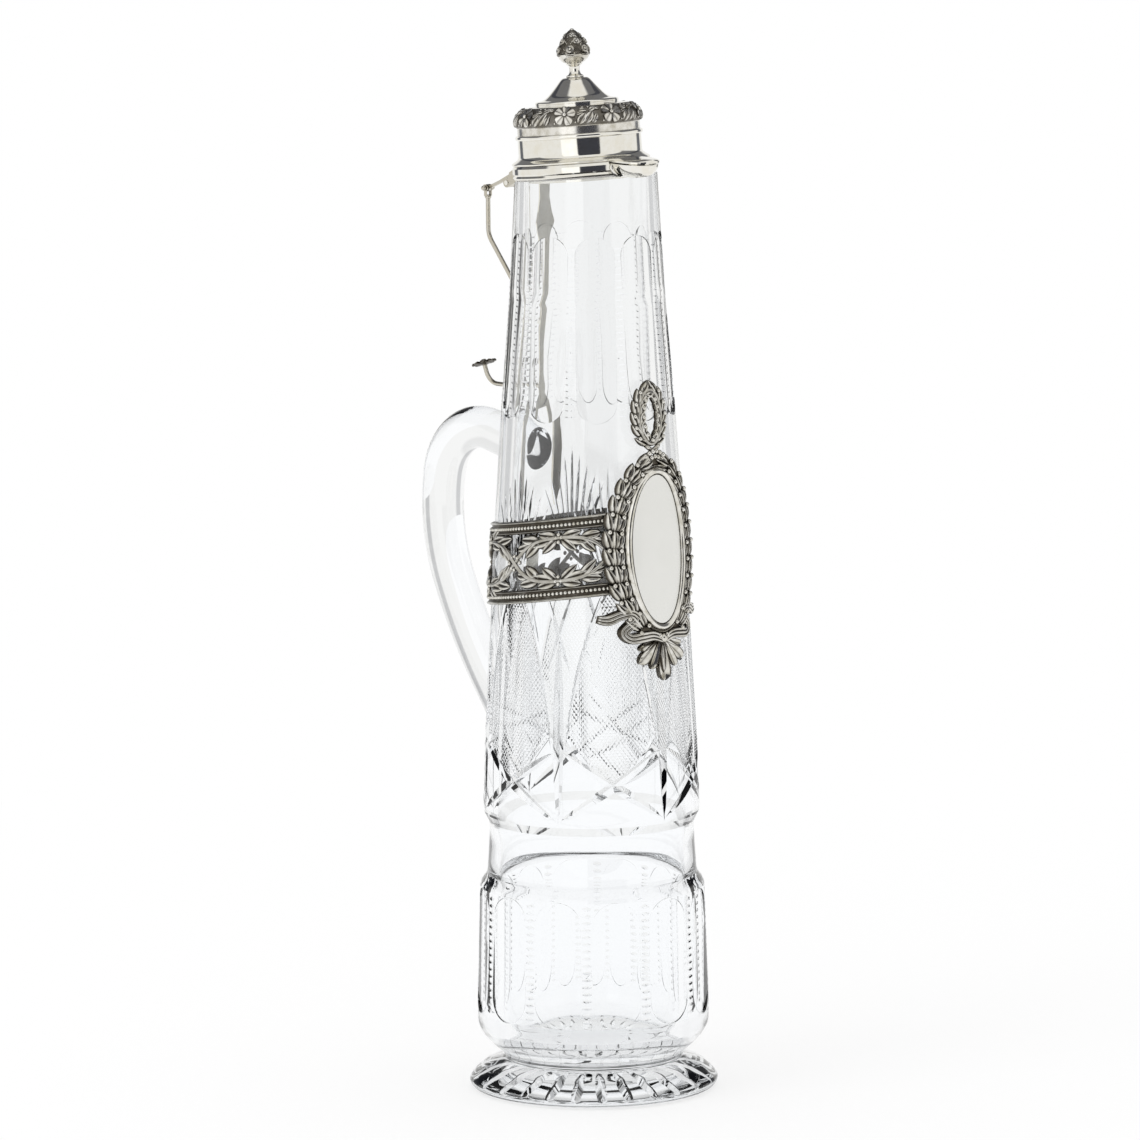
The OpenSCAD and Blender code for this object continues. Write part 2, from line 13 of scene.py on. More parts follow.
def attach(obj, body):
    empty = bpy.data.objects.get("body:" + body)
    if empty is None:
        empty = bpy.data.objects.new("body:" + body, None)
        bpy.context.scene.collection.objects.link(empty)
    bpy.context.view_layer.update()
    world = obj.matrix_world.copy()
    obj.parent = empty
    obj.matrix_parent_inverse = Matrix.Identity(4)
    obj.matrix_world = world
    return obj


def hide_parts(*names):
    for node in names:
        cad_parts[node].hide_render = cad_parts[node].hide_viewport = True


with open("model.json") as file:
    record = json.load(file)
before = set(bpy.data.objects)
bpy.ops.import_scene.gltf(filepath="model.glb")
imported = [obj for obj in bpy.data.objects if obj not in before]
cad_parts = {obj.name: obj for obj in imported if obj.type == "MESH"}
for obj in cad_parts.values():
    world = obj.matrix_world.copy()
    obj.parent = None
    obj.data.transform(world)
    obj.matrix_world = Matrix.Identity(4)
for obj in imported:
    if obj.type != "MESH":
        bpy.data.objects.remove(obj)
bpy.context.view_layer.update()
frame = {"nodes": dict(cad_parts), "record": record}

MM = 0.001
PHOTO_AZ = -42.0
NODES = frame["nodes"]

# ---------------------------------------------------------------- shape of the glass, as in the frame

OUTSIDE = [  # height, radius
    (12.5, 35.5), (14.6, 36.4), (17.6, 39.7), (21.6, 43.4), (25.7, 45.5), (30, 45.8), (36, 45.8), (81, 44.4),
    (82.6, 43.6), (84.5, 41.5), (104, 40.3), (107, 40.6), (110.5, 42.4), (113, 42.7), (138.5, 41.9),
    (213, 38), (273.8, 33.95), (313, 30.75), (345, 28.9), (372, 27.4)]
INSIDE = [(21, 30), (22, 33), (25, 36), (30, 37.6), (82, 37.4), (100, 36.4), (113, 37), (138.5, 36.2),
          (213, 32.2), (273.8, 28.4), (313, 25.6), (345, 24.2), (372, 24)]
RIM_CUT = 5.8            # the glass ends this far under the joint of lid and collar


def lookup(z, points):
    """Radius at a height, between the points of an outline."""
    if z <= points[0][0]:
        return points[0][1]
    for (z0, r0), (z1, r1) in zip(points, points[1:]):
        if z <= z1:
            return r0 + (r1 - r0) * (z - z0) / (z1 - z0)
    return points[-1][1]


def glass_r(z):
    return lookup(z, OUTSIDE)


def at_angle(a, r, z):
    """Point at an angle from the front, in radians, and a radius and a height."""
    return Vector((r * math.sin(a), -r * math.cos(a), z))


def on_glass(az, z, lift=0.0):
    """Point over the glass at an angle round the axis."""
    return at_angle(math.radians(az), glass_r(z) + lift, z)


def on_front(x, z, lift=0.0):
    """Point over the front of the glass, by its distance from the middle plane."""
    r = glass_r(z) + lift
    return Vector((x, -math.sqrt(max(r * r - x * x, 1.0)), z))


CAP = Matrix.Translation((0, 2, 367.5)) @ Matrix.Rotation(math.radians(-5.3), 4, "X")
LID = CAP @ Matrix.Translation((0, 0.9, 0))
SPOUT = CAP @ Matrix.Translation((0, -24, 0)) @ Matrix.Rotation(math.radians(7), 4, "X")
BAND_Z, BAND_TILT = 213.3, math.radians(8.4)


def on_band(az, h, lift=0.0):
    """Point over the glass on the tilted band: h is the distance over the band's middle plane."""
    z = BAND_Z
    for _ in range(4):
        front = (glass_r(z) + lift) * math.cos(math.radians(az))
        z = BAND_Z + front * math.tan(BAND_TILT) + h / math.cos(BAND_TILT)
    return on_glass(az, z, lift)


# ---------------------------------------------------------------- camera, light and floor

def make_camera():
    """The photograph's camera, in plain values: a long lens, slightly above, 42 degrees round to the left."""
    pitch, yaw, roll = math.radians(8.541), math.radians(-0.1387), math.radians(-0.52)
    focal_px, frame_px, distance, height = 8168.0, 1140.0, 3.180, 0.684
    a = math.radians(PHOTO_AZ)
    back = at_angle(a, 1, 0)
    side = Vector((math.cos(a), math.sin(a), 0))
    level = -back * math.cos(yaw) + side * math.sin(yaw)
    right = side * math.cos(yaw) + back * math.sin(yaw)
    up = Vector((0, 0, 1))
    forward = level * math.cos(pitch) - up * math.sin(pitch)
    over = level * math.sin(pitch) + up * math.cos(pitch)
    right, over = (right * math.cos(roll) + over * math.sin(roll),
                   over * math.cos(roll) - right * math.sin(roll))
    data = bpy.data.cameras.new("camera")
    data.sensor_width = 36.0
    data.lens = focal_px / frame_px * data.sensor_width
    data.clip_end = 60
    cam = bpy.data.objects.new("camera", data)
    place = back * distance + up * height
    cam.matrix_world = Matrix((
        (right.x, over.x, -forward.x, place.x), (right.y, over.y, -forward.y, place.y),
        (right.z, over.z, -forward.z, place.z), (0, 0, 0, 1)))
    bpy.context.collection.objects.link(cam)
    bpy.context.scene.camera = cam


class Shader:
    """Short way to add and join shader nodes."""

    def __init__(self, tree):
        self.tree = tree

    def add(self, kind, values=(), **settings):
        n = self.tree.nodes.new(kind)
        for k, v in settings.items():
            setattr(n, k, v)
        for k, v in dict(values).items():
            if isinstance(v, bpy.types.NodeSocket):
                self.tree.links.new(v, n.inputs[k])
            else:
                n.inputs[k].default_value = v
        return n

    def math(self, operation, a, b=0.5, clamp=False):
        return self.add("ShaderNodeMath", {0: a, 1: b}, operation=operation, use_clamp=clamp).outputs[0]

    def mix(self, factor, a, b, blend="MIX"):
        n = self.add("ShaderNodeMix", {0: factor, 6: a, 7: b}, data_type="RGBA", blend_type=blend)
        return n.outputs[2]

    def smooth(self, value, low, high, out_low=0.0, out_high=1.0):
        return self.add("ShaderNodeMapRange", {0: value, 1: low, 2: high, 3: out_low, 4: out_high},
                        interpolation_type="SMOOTHSTEP").outputs[0]


def new_tree(owner):
    owner.use_nodes = True
    owner.node_tree.nodes.clear()
    return Shader(owner.node_tree)


STUDIO = (0.93, 0.925, 0.91, 1)
STUDIO_EDGE = (0.09, 0.10, 0.125, 1)
STUDIO_LOW = (0.6, 0.6, 0.6, 1)
DARK_CARD = (0.05, 0.052, 0.065, 1)
LIGHT_CARD = (1.25, 1.25, 1.25, 1)


def make_world():
    """White studio. Metal and glass also see a light card and a dark card near the camera, the dark edges of
    the backdrop behind the jug and dark flags high behind it; glass sees all but the light card faintly. A
    card's place is in degrees, round from the photograph's side and up from the level."""
    world = bpy.context.scene.world or bpy.data.worlds.new("studio")
    bpy.context.scene.world = world
    s = new_tree(world)
    direction = s.add("ShaderNodeTexCoord").outputs["Generated"]
    xyz = s.add("ShaderNodeSeparateXYZ", {0: direction}).outputs
    around = s.math("ARCTAN2", xyz[0], s.math("MULTIPLY", xyz[1], -1))
    degrees = s.math("MULTIPLY", around, 180 / math.pi)
    offset = s.math("WRAP", s.math("SUBTRACT", degrees, PHOTO_AZ), 180)
    s.tree.nodes[-1].inputs[2].default_value = -180
    height = s.math("MULTIPLY", s.math("ARCSINE", xyz[2]), 180 / math.pi)

    def window(value, low, high, soft):
        up = s.smooth(value, low - soft, low + soft)
        down = s.smooth(value, high - soft, high + soft, 1.0, 0.0)
        return s.math("MULTIPLY", up, down)

    far = s.math("ABSOLUTE", offset)
    path = s.add("ShaderNodeLightPath").outputs
    metal = s.math("SUBTRACT", path["Is Glossy Ray"], path["Is Transmission Ray"], clamp=True)

    def card(sideways, upright, in_glass, on_metal):
        strength = s.smooth(metal, 0, 1, in_glass, on_metal)
        return s.math("MULTIPLY", s.math("MULTIPLY", sideways, upright), strength)

    seen = s.mix(card(window(far, 134, 150, 2.5), window(height, -60, 62, 8), 0.42, 0.93), STUDIO, STUDIO_EDGE)
    light = s.math("MULTIPLY", window(offset, -35, -5, 1.2), window(height, -14, 30, 1.5))
    seen = s.mix(light, seen, LIGHT_CARD)
    seen = s.mix(card(window(offset, -5, 38, 1.2), window(height, -8, 34, 1.5), 0.2, 1.0), seen, DARK_CARD)
    low = s.smooth(height, -75, -35, 1.0, 0.0)
    seen = s.mix(s.math("MULTIPLY", low, 0.3), seen, STUDIO_LOW)
    seen = s.mix(card(window(far, 84, 200, 4), window(height, 13, 68, 4), 0.16, 0.86), seen, DARK_CARD)
    clear = s.add("ShaderNodeBackground", {0: seen, 1: 1.0}).outputs[0]
    plain = s.add("ShaderNodeBackground", {0: (1, 1, 1, 1), 1: 1.0}).outputs[0]
    structured = s.math("MAXIMUM", path["Is Glossy Ray"], path["Is Transmission Ray"])
    whole = s.add("ShaderNodeMixShader", {0: structured, 1: plain, 2: clear}).outputs[0]
    s.add("ShaderNodeOutputWorld", {0: whole})


def make_floor():
    """White floor that keeps the jug's soft shadow and fades into the backdrop."""
    bm = bmesh.new()
    bmesh.ops.create_circle(bm, cap_ends=True, segments=96, radius=1.5)
    bmesh.ops.translate(bm, verts=bm.verts, vec=(0, 0, -0.0004))
    mesh = bpy.data.meshes.new("floor")
    bm.to_mesh(mesh)
    bm.free()
    floor = bpy.data.objects.new("floor", mesh)
    bpy.context.collection.objects.link(floor)
    material = bpy.data.materials.new("floor_white")
    s = new_tree(material)
    path = s.add("ShaderNodeLightPath").outputs
    place = object_place(s)
    away = s.add("ShaderNodeVectorMath", {0: place}, operation="LENGTH").outputs["Value"]
    shade = s.add("ShaderNodeBsdfDiffuse", {0: (0.93, 0.93, 0.93, 1)}).outputs[0]
    white = s.add("ShaderNodeEmission", {0: (1, 1, 1, 1), 1: 1.0}).outputs[0]
    seen = s.math("MAXIMUM", s.math("MAXIMUM", path["Is Camera Ray"], path["Is Glossy Ray"]),
                  path["Is Transmission Ray"])
    glow = s.math("MULTIPLY", seen, s.smooth(away, 0.12, 0.7, 0.72, 1.0))
    whole = s.add("ShaderNodeMixShader", {0: glow, 1: shade, 2: white}).outputs[0]
    s.add("ShaderNodeOutputMaterial", {0: whole})
    mesh.materials.append(material)


def make_lamp():
    """One soft lamp at the upper left, for gentle modelling on the chased silver."""
    data = bpy.data.lights.new("soft_light", "AREA")
    data.energy, data.size = 6.0, 0.9
    lamp = bpy.data.objects.new("soft_light", data)
    place, aim = at_angle(math.radians(PHOTO_AZ - 55), 1.5, 1.4), Vector((0, 0, 0.25))
    lamp.location = place
    lamp.rotation_mode = "QUATERNION"
    lamp.rotation_quaternion = (place - aim).to_track_quat("Z", "Y")
    lamp.visible_glossy = False
    lamp.visible_transmission = False
    bpy.context.collection.objects.link(lamp)


# ---------------------------------------------------------------- finishes

def principled(s, **values):
    """Adds the surface and returns the material's output."""
    names = {"base": "Base Color", "metal": "Metallic", "rough": "Roughness", "ior": "IOR", "bump": "Normal",
             "clear": "Transmission Weight"}
    node = s.add("ShaderNodeBsdfPrincipled", {names[k]: v for k, v in values.items()})
    return s.add("ShaderNodeOutputMaterial", {0: node.outputs[0]})


def object_place(s):
    return s.add("ShaderNodeTexCoord").outputs["Object"]


def noise(s, place, scale, detail=3.0, rough=0.5):
    return s.add("ShaderNodeTexNoise", {"Vector": place, "Scale": scale, "Detail": detail,
                                        "Roughness": rough}).outputs["Fac"]


def cut_glass():
    """Clear lead crystal: faint streaks from the making show only as a very slight bump."""
    material = bpy.data.materials.new("cut_glass")
    s = new_tree(material)
    place = object_place(s)
    wave = s.add("ShaderNodeBump", {"Strength": 0.05, "Distance": 0.0006,
                                    "Height": noise(s, place, 45.0, 1.0)}).outputs[0]
    tint = s.mix(noise(s, place, 18.0, 1.0), (0.975, 0.985, 0.995, 1), (0.99, 0.995, 1.0, 1))
    out = principled(s, base=tint, rough=0.0, ior=1.53, clear=1.0, bump=wave)
    depth = s.add("ShaderNodeVolumeAbsorption", {"Color": (0.80, 0.86, 0.93, 1), "Density": 2.2})
    s.tree.links.new(depth.outputs[0], out.inputs["Volume"])
    return material


# Dark tarnish colour; on relief pieces it is also laid on the low parts as painted shade.
TARNISH_SHADE_COLOUR = (0.085, 0.074, 0.058, 1)


def silver(name, patina_and_shade, rough, dents=0.0, base=(0.85, 0.835, 0.785, 1), relief=False):
    """Silver with tarnish left in the hollows and bright where polishing reaches what stands up. Second
    argument: 0 bright to 1 dark.
    On chased and cast pieces a point attribute also darkens the low parts, partly as tarnish the polishing
    cloth misses and partly as painted shade."""
    material = bpy.data.materials.new(name)
    s = new_tree(material)
    place = object_place(s)
    cloud = noise(s, place, 260.0, 4.0, 0.6)
    fine = noise(s, place, 1500.0, 2.0)
    worn = (0.66, 0.64, 0.58) if relief else (0.95, 0.93, 0.88)
    colour = s.mix(s.smooth(cloud, 0.35, 0.75), base, (*(b * w for b, w in zip(base, worn)), 1))
    hollow = s.add("ShaderNodeAmbientOcclusion", {"Distance": 0.0022}, samples=8, inside=False)
    shut = s.math("SUBTRACT", 1.0, hollow.outputs["AO"])
    tarnish_and_shade = s.smooth(shut, 0.22, 0.70)
    if relief:
        # On relief pieces the point attribute keeps the crowns clean and darkens veins, edges, flutes, grounds
        # and the backs of pearls: partly tarnish, partly painted shade.
        polish_and_shade = s.add("ShaderNodeAttribute", attribute_name="polish_and_shade").outputs["Fac"]
        tarnish_and_shade = s.math("MAXIMUM", s.math("MULTIPLY", tarnish_and_shade, 0.9), s.smooth(polish_and_shade, 0.28, 1.1, 1.0, 0.0))
    tarnish_and_shade = s.math("MULTIPLY", tarnish_and_shade, s.smooth(cloud, 0.15, 0.5, 0.75, 1.0))
    # The tarnish colour goes where the mask is high: real tarnish in the hollows, and painted shade on the low
    # parts of relief pieces.
    colour = s.mix(s.math("MULTIPLY", tarnish_and_shade, patina_and_shade), colour, TARNISH_SHADE_COLOUR)
    roughness = s.math("ADD", rough, s.math("MULTIPLY", tarnish_and_shade, 0.30 * patina_and_shade))
    height = s.math("ADD", s.math("MULTIPLY", cloud, dents), s.math("MULTIPLY", fine, 0.05))
    bump = s.add("ShaderNodeBump", {"Strength": 0.3 if relief else 0.08, "Distance": 0.0002,
                                    "Height": height}).outputs[0]
    principled(s, base=colour, metal=1.0, rough=roughness, bump=bump)
    return material


def satin_silver():
    """Plain plaque: a soft brushed face with faint hairlines along its height."""
    material = bpy.data.materials.new("satin_silver")
    s = new_tree(material)
    place = object_place(s)
    drawn = s.add("ShaderNodeMapping", {0: place, 3: (1.0, 1.0, 0.06)}).outputs[0]
    hair = noise(s, drawn, 2600.0, 3.0)
    cloud = noise(s, place, 70.0, 2.0)
    colour = s.mix(cloud, (0.80, 0.80, 0.77, 1), (0.87, 0.87, 0.845, 1))
    bump = s.add("ShaderNodeBump", {"Strength": 0.06, "Distance": 0.0001, "Height": hair}).outputs[0]
    roughness = s.math("ADD", 0.27, s.math("MULTIPLY", cloud, 0.10))
    principled(s, base=colour, metal=1.0, rough=roughness, bump=bump)
    return material


def matt(name, light, dark, metal=0.0, rough=0.7):
    material = bpy.data.materials.new(name)
    s = new_tree(material)
    grain = noise(s, object_place(s), 900.0, 4.0)
    bump = s.add("ShaderNodeBump", {"Strength": 0.3, "Distance": 0.0002, "Height": grain}).outputs[0]
    principled(s, base=s.mix(grain, dark, light), metal=metal, rough=rough, bump=bump)
    return material


# ---------------------------------------------------------------- mesh helpers

def unit(bm_make):
    """Mesh made once from a bmesh builder, for shapes that repeat."""
    bm = bmesh.new()
    bm_make(bm)
    bmesh.ops.recalc_face_normals(bm, faces=bm.faces)
    mesh = bpy.data.meshes.new("unit")
    bm.to_mesh(mesh)
    bm.free()
    return mesh


def put(bm, mesh, place, polish_and_shade=None):
    """Adds a copy of a unit mesh; place turns each of its points into its place on the jug, and the last
    argument gives how clean it is there, from 0 dark in a hollow to 1 on a crown; the dark is tarnish and
    painted shade."""
    copy = mesh.copy()
    if polish_and_shade:
        polish_shade = copy.attributes.new("polish_and_shade", "FLOAT", "POINT")
        polish_shade.data.foreach_set("value", [polish_and_shade(v.co) for v in copy.vertices])
    copy.vertices.foreach_set("co", [c for v in copy.vertices for c in place(v.co)])
    bm.from_mesh(copy)
    bpy.data.meshes.remove(copy)


# Point layer of how clean the silver is: polished crowns against tarnish and painted shade in the low parts.
def polish_and_shade_layer(bm):
    return bm.verts.layers.float.get("polish_and_shade") or bm.verts.layers.float.new("polish_and_shade")


def set_polish_and_shade(bm, amount):
    """Writes how clean every point so far is, from a function of its place; low values are darkened as tarnish
    and as painted shade.
    """
    polish_shade = polish_and_shade_layer(bm)
    for v in bm.verts:
        v[polish_shade] = amount(v.co)


def finish_piece(name, bm, material, body, slot, *nodes, sharp=40.0, recalc=True):
    """Turns a bmesh in millimetres into a piece that rides on a body and stands for frame nodes."""
    if recalc:
        bmesh.ops.recalc_face_normals(bm, faces=bm.faces)
    bmesh.ops.scale(bm, vec=(MM, MM, MM), verts=bm.verts)
    for f in bm.faces:
        f.smooth = True
    limit = math.radians(sharp)
    for e in bm.edges:
        e.smooth = len(e.link_faces) != 2 or e.calc_face_angle(0.0) < limit
    mesh = bpy.data.meshes.new(name)
    bm.to_mesh(mesh)
    bm.free()
    mesh.materials.append(material)
    piece = bpy.data.objects.new(name, mesh)
    bpy.context.collection.objects.link(piece)
    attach(piece, body)
    if nodes:
        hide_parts(*nodes)


def spun(bm, outline, steps, closed=False):
    """Outline of [radius, height] points turned round the Z axis."""
    verts = [bm.verts.new((r, 0, z)) for r, z in outline]
    edges = [bm.edges.new(p) for p in zip(verts, verts[1:])]
    if closed:
        edges.append(bm.edges.new((verts[-1], verts[0])))
    bmesh.ops.spin(bm, geom=verts + edges, cent=(0, 0, 0), axis=(0, 0, 1), angle=2 * math.pi, steps=steps,
                   use_merge=True)
    bmesh.ops.remove_doubles(bm, verts=bm.verts, dist=1e-4)


def raised(bm, faces):
    """Extrudes faces and returns the points of their copies."""
    made = bmesh.ops.extrude_face_region(bm, geom=faces)["geom"]
    return [g for g in made if isinstance(g, bmesh.types.BMVert)]


def smooth_outline(points, cuts):
    """Rounds an outline with a Catmull-Rom curve."""
    out = []
    for i in range(len(points) - 1):
        p0, p1 = points[max(i - 1, 0)], points[i]
        p2, p3 = points[i + 1], points[min(i + 2, len(points) - 1)]
        for k in range(cuts):
            t = k / cuts
            out.append(tuple(
                0.5 * (2 * b + (c - a) * t + (2 * a - 5 * b + 4 * c - d) * t * t
                       + (3 * b - a - 3 * c + d) * t ** 3)
                for a, b, c, d in zip(p0, p1, p2, p3)))
    out.append(points[-1])
    return out


# ---------------------------------------------------------------- glass

HATCH_COLUMNS = 300
HATCH_STEP = 360.0 / HATCH_COLUMNS
HATCH_Z0, HATCH_Z1, HATCH_ROW = 124.0, 208.2, 1.15
HATCH_DEPTH = 0.30


def medallion_half(z):
    """Half width, in degrees, of the pointed oval of diamonds at a height."""
    low, wide, high = 127.0, 150.0, 206.0
    if z <= low or z >= high:
        return 0.0
    t = (z - wide) / (low - wide) if z < wide else (z - wide) / (high - wide)
    return 25.5 * (1 - t ** 1.75) if z < wide else 25.5 * (1 - t ** 1.55)


def prism(stations):
    """Unit cutter: a triangular bar along x from -1 to 1, its edge at z -1 and its two top corners at z 1."""
    def make(bm):
        bmesh.ops.create_cone(bm, cap_ends=True, segments=3, radius1=1, radius2=1, depth=2)
        sides = [e for e in bm.edges if abs(e.verts[0].co.z - e.verts[1].co.z) > 1]
        bmesh.ops.subdivide_edges(bm, edges=sides, cuts=stations - 1, use_grid_fill=False)
        for v in bm.verts:
            v.co = Vector((v.co.z, 0, -1)) if v.co.y > 0.9 else Vector((v.co.z, math.copysign(1, v.co.x), 1))
    return unit(make)


def groove(bm, mesh, start, end, half, depth, ends=0.0, bulge=0.0):
    """V cut over the glass from start to end, each (az, z): lens shaped, deepest in the middle."""
    (a0, z0), (a1, z1) = start, end
    r = glass_r((z0 + z1) / 2)
    du, dz = math.radians(a1 - a0) * r, z1 - z0
    length = math.hypot(du, dz)
    tu, tz = du / length, dz / length
    lift = 1.0

    def place(v):
        s = v.x
        share = max(1 - s * s, 0.0) ** 0.75 * (1 - ends) + ends
        d = depth * share
        low = v.z < 0
        across = 0.0 if low else v.y * half * share * (d + lift) / max(d, 0.05)
        across = max(-half * 3, min(half * 3, across))
        side = bulge * (1 - s * s)
        u = tu * s * length / 2 - tz * (across + side)
        z = (z0 + z1) / 2 + tz * s * length / 2 + tu * (across + side)
        az = (a0 + a1) / 2 + math.degrees(u / r)
        return on_glass(az, z, -d if low else lift)
    put(bm, mesh, place)


def blank(name, bm):
    """Object in millimetres that is still to be cut."""
    bmesh.ops.recalc_face_normals(bm, faces=bm.faces)
    mesh = bpy.data.meshes.new(name)
    bm.to_mesh(mesh)
    bm.free()
    piece = bpy.data.objects.new(name, mesh)
    bpy.context.collection.objects.link(piece)
    return piece


def carve(piece, tool, operation="DIFFERENCE"):
    """Cuts a blank, or closed cutters that don't overlap each other, out of a piece, or joins the two."""
    if isinstance(tool, bmesh.types.BMesh):
        tool = blank("cutter", tool)
    mod = piece.modifiers.new("carve", "BOOLEAN")
    mod.operation, mod.solver, mod.object = operation, "MANIFOLD", tool
    depsgraph = bpy.context.evaluated_depsgraph_get()
    cut = bpy.data.meshes.new_from_object(piece.evaluated_get(depsgraph))
    piece.modifiers.clear()
    piece.data = cut
    bpy.data.objects.remove(tool)


def arch_cutter(bm, width, z0, z1, depth, count):
    """Flat-ground panels with round ends, all round the jug."""
    mid, half = (z0 + z1) / 2, (z1 - z0) / 2
    lean = math.atan2(glass_r(z0) - glass_r(z1), z1 - z0)

    def make(b):
        arc = [(width / 2 * math.cos(t), half - width / 2 + width / 2 * math.sin(t))
               for t in (math.pi * k / 24 for k in range(25))]
        ring = [b.verts.new((x, 0, z)) for x, z in arc + [(-x, -z) for x, z in arc]]
        b.faces.new(ring)
        bmesh.ops.translate(b, verts=raised(b, b.faces[:]), vec=(0, -9, 0))
        bmesh.ops.rotate(b, verts=b.verts, matrix=Matrix.Rotation(-lean, 3, "X"))
        bmesh.ops.translate(b, verts=b.verts, vec=(0, depth - glass_r(mid), mid))
    mesh = unit(make)
    for i in range(count):
        turn = Matrix.Rotation(math.radians(360 * i / count), 3, "Z")
        put(bm, mesh, lambda v, t=turn: t @ v)


def glass_outline():
    """Foot, outside and inside of the glass as [radius, height], with a row of points for each row of
    diamonds."""
    foot = [(45.9, 0), (48.1, 0.8), (49.2, 2.4), (48.8, 4), (46.6, 6.6), (43.0, 9.3), (38.6, 10.9),
            (35.6, 11.9), (35.5, 12.6), (36.4, 14.6), (39.7, 17.6), (43.4, 21.6), (45.5, 25.7), (45.8, 30)]
    outline = [(0.0, 0.0), (20.0, 0.0), (38.0, 0.0)] + smooth_outline(foot, 4)
    outline += [(45.8, 36), (45.32, 50), (44.86, 65), (44.4, 81), (44.0, 82.4), (43.3, 83.8), (42.3, 85.0),
                (41.6, 86.2)]
    zs = [88, 90, 98, 104, 107, 108.7, 110.5, 113, 118]
    row = HATCH_Z0
    while row < HATCH_Z1 + 0.1:
        zs.append(row)
        row += HATCH_ROW
    zs += [213, 225, 240, 256, 273.8, 290, 313, 330, 345, 352, 372]
    outline += [(glass_r(z), z) for z in zs]
    inner = [(r, z) for z, r in INSIDE][::-1]
    outline += inner[:-4] + smooth_outline([(37.6, 30), (36, 25), (33, 22), (30, 21)], 3)
    return outline + [(15, 20.8), (0, 20.8)]


def sink_diamonds(bm):
    """Sinks every other point of the diamond fields, so that the faces between them fold into facets."""
    hatch = []
    for v in bm.verts:
        z = v.co.z
        if not HATCH_Z0 <= z <= HATCH_Z1 or abs(math.hypot(v.co.x, v.co.y) - glass_r(z)) > 0.4:
            continue
        az = math.degrees(math.atan2(v.co.x, -v.co.y))
        column, line = round(az / HATCH_STEP), round((z - HATCH_Z0) / HATCH_ROW)
        off = abs((az + 360) % 60 - 30)
        if off < medallion_half(z) and (column + line) % 2 == 0:
            hatch.append(v)
            v.co = on_glass(column * HATCH_STEP, z, -HATCH_DEPTH)
    bmesh.ops.connect_verts(bm, verts=hatch)


def notches(bm, mesh, count, low, high, step, half_az, half, depth):
    """Short cuts across the ridges between the panels, one above the other."""
    for i in range(count):
        az, z = 180 / count + 360 / count * i, low
        while z < high:
            groove(bm, mesh, (az - half_az, z), (az + half_az, z), half, depth, ends=0.4)
            z += step


def foot_star(bm, mesh):
    """Leaf-shaped rays under the foot, cut up into its flat underside."""
    for i in range(24):
        turn = Matrix.Rotation(math.radians(15 * i + 7.5), 3, "Z")

        def ray(v, turn=turn):
            share = max(1 - v.x * v.x, 0.0) ** 0.8
            along = 28.0 + v.x * 16
            wide = 4.6 * share * (1 if v.z > 0 else 0) * (0.6 + 0.55 * v.x)
            return turn @ Vector((wide * v.y, -along, -1.0 if v.z > 0 else 1.7 * share))
        put(bm, mesh, ray)


BASE_PANELS, NECK_PANELS = 12, 10
SETS = 6                 # sets of mitres and diamond fields round the jug


def glass_body():
    bm = bmesh.new()
    spun(bm, glass_outline(), HATCH_COLUMNS)
    sink_diamonds(bm)
    piece = blank("glass_blank", bm)

    cutter = bmesh.new()                                # top, parallel to the collar
    bmesh.ops.create_cube(cutter, size=160)
    bmesh.ops.transform(cutter, matrix=CAP @ Matrix.Translation((0, 0, 80 - RIM_CUT)), verts=cutter.verts)
    carve(piece, cutter)
    cutter = bmesh.new()                                # panels of the base and the neck
    arch_cutter(cutter, 19.2, 31, 81, 1.05, BASE_PANELS)
    arch_cutter(cutter, 15.8, 268.5, 341, 1.05, NECK_PANELS)
    carve(piece, cutter)
    short, long = prism(2), prism(14)
    cutter = bmesh.new()
    notches(cutter, short, BASE_PANELS, 34.0, 79, 2.8, 2.3, 0.95, 0.38)
    notches(cutter, short, NECK_PANELS, 271.5, 339, 2.5, 3.2, 0.7, 0.2)
    sets = [360 // SETS * i for i in range(SETS)]
    for az in sets:                                     # tall mitres
        groove(cutter, long, (az, 111.5), (az, 186), 2.1, 1.9)
        for s in (-1, 1):                               # outline of each diamond field
            groove(cutter, long, (az + s * 4.2, 141), (az + s * 26.5, 205), 0.9, 0.8, bulge=s * 2.6)
    foot_star(cutter, long)
    carve(piece, cutter)
    for slant in (-1, 1):
        cutter = bmesh.new()
        for az in sets:                                 # crossing mitres under the diamond fields, then stars
            groove(cutter, long, (az + 30 - 29 * slant, 113), (az + 30 + 29 * slant, 141), 2.0, 1.35)
            groove(cutter, long, (az - 6.5 * slant, 172), (az + 8.5 * slant, 204), 0.95, 0.9)
        carve(piece, cutter)
    for slant in (-1, 0, 1):                            # fans over the diamond fields
        cutter = bmesh.new()
        for az in sets:
            for k in range(3):
                lean = (3 * k - 3 + slant) * 3.6
                top = 252 - abs(lean) * 1.1
                groove(cutter, long, (az + 30 + lean * 0.5, 213), (az + 30 + lean * 1.55, top), 0.62, 0.7)
        carve(piece, cutter)
    carve(piece, loop_handle(), "UNION")
    bm = bmesh.new()
    bm.from_mesh(piece.data)
    bpy.data.objects.remove(piece)
    finish_piece("cut_glass_jug", bm, GLASS, "jug", "cut_glass", "glass_body", "glass_handle", sharp=14.0,
                 recalc=False)


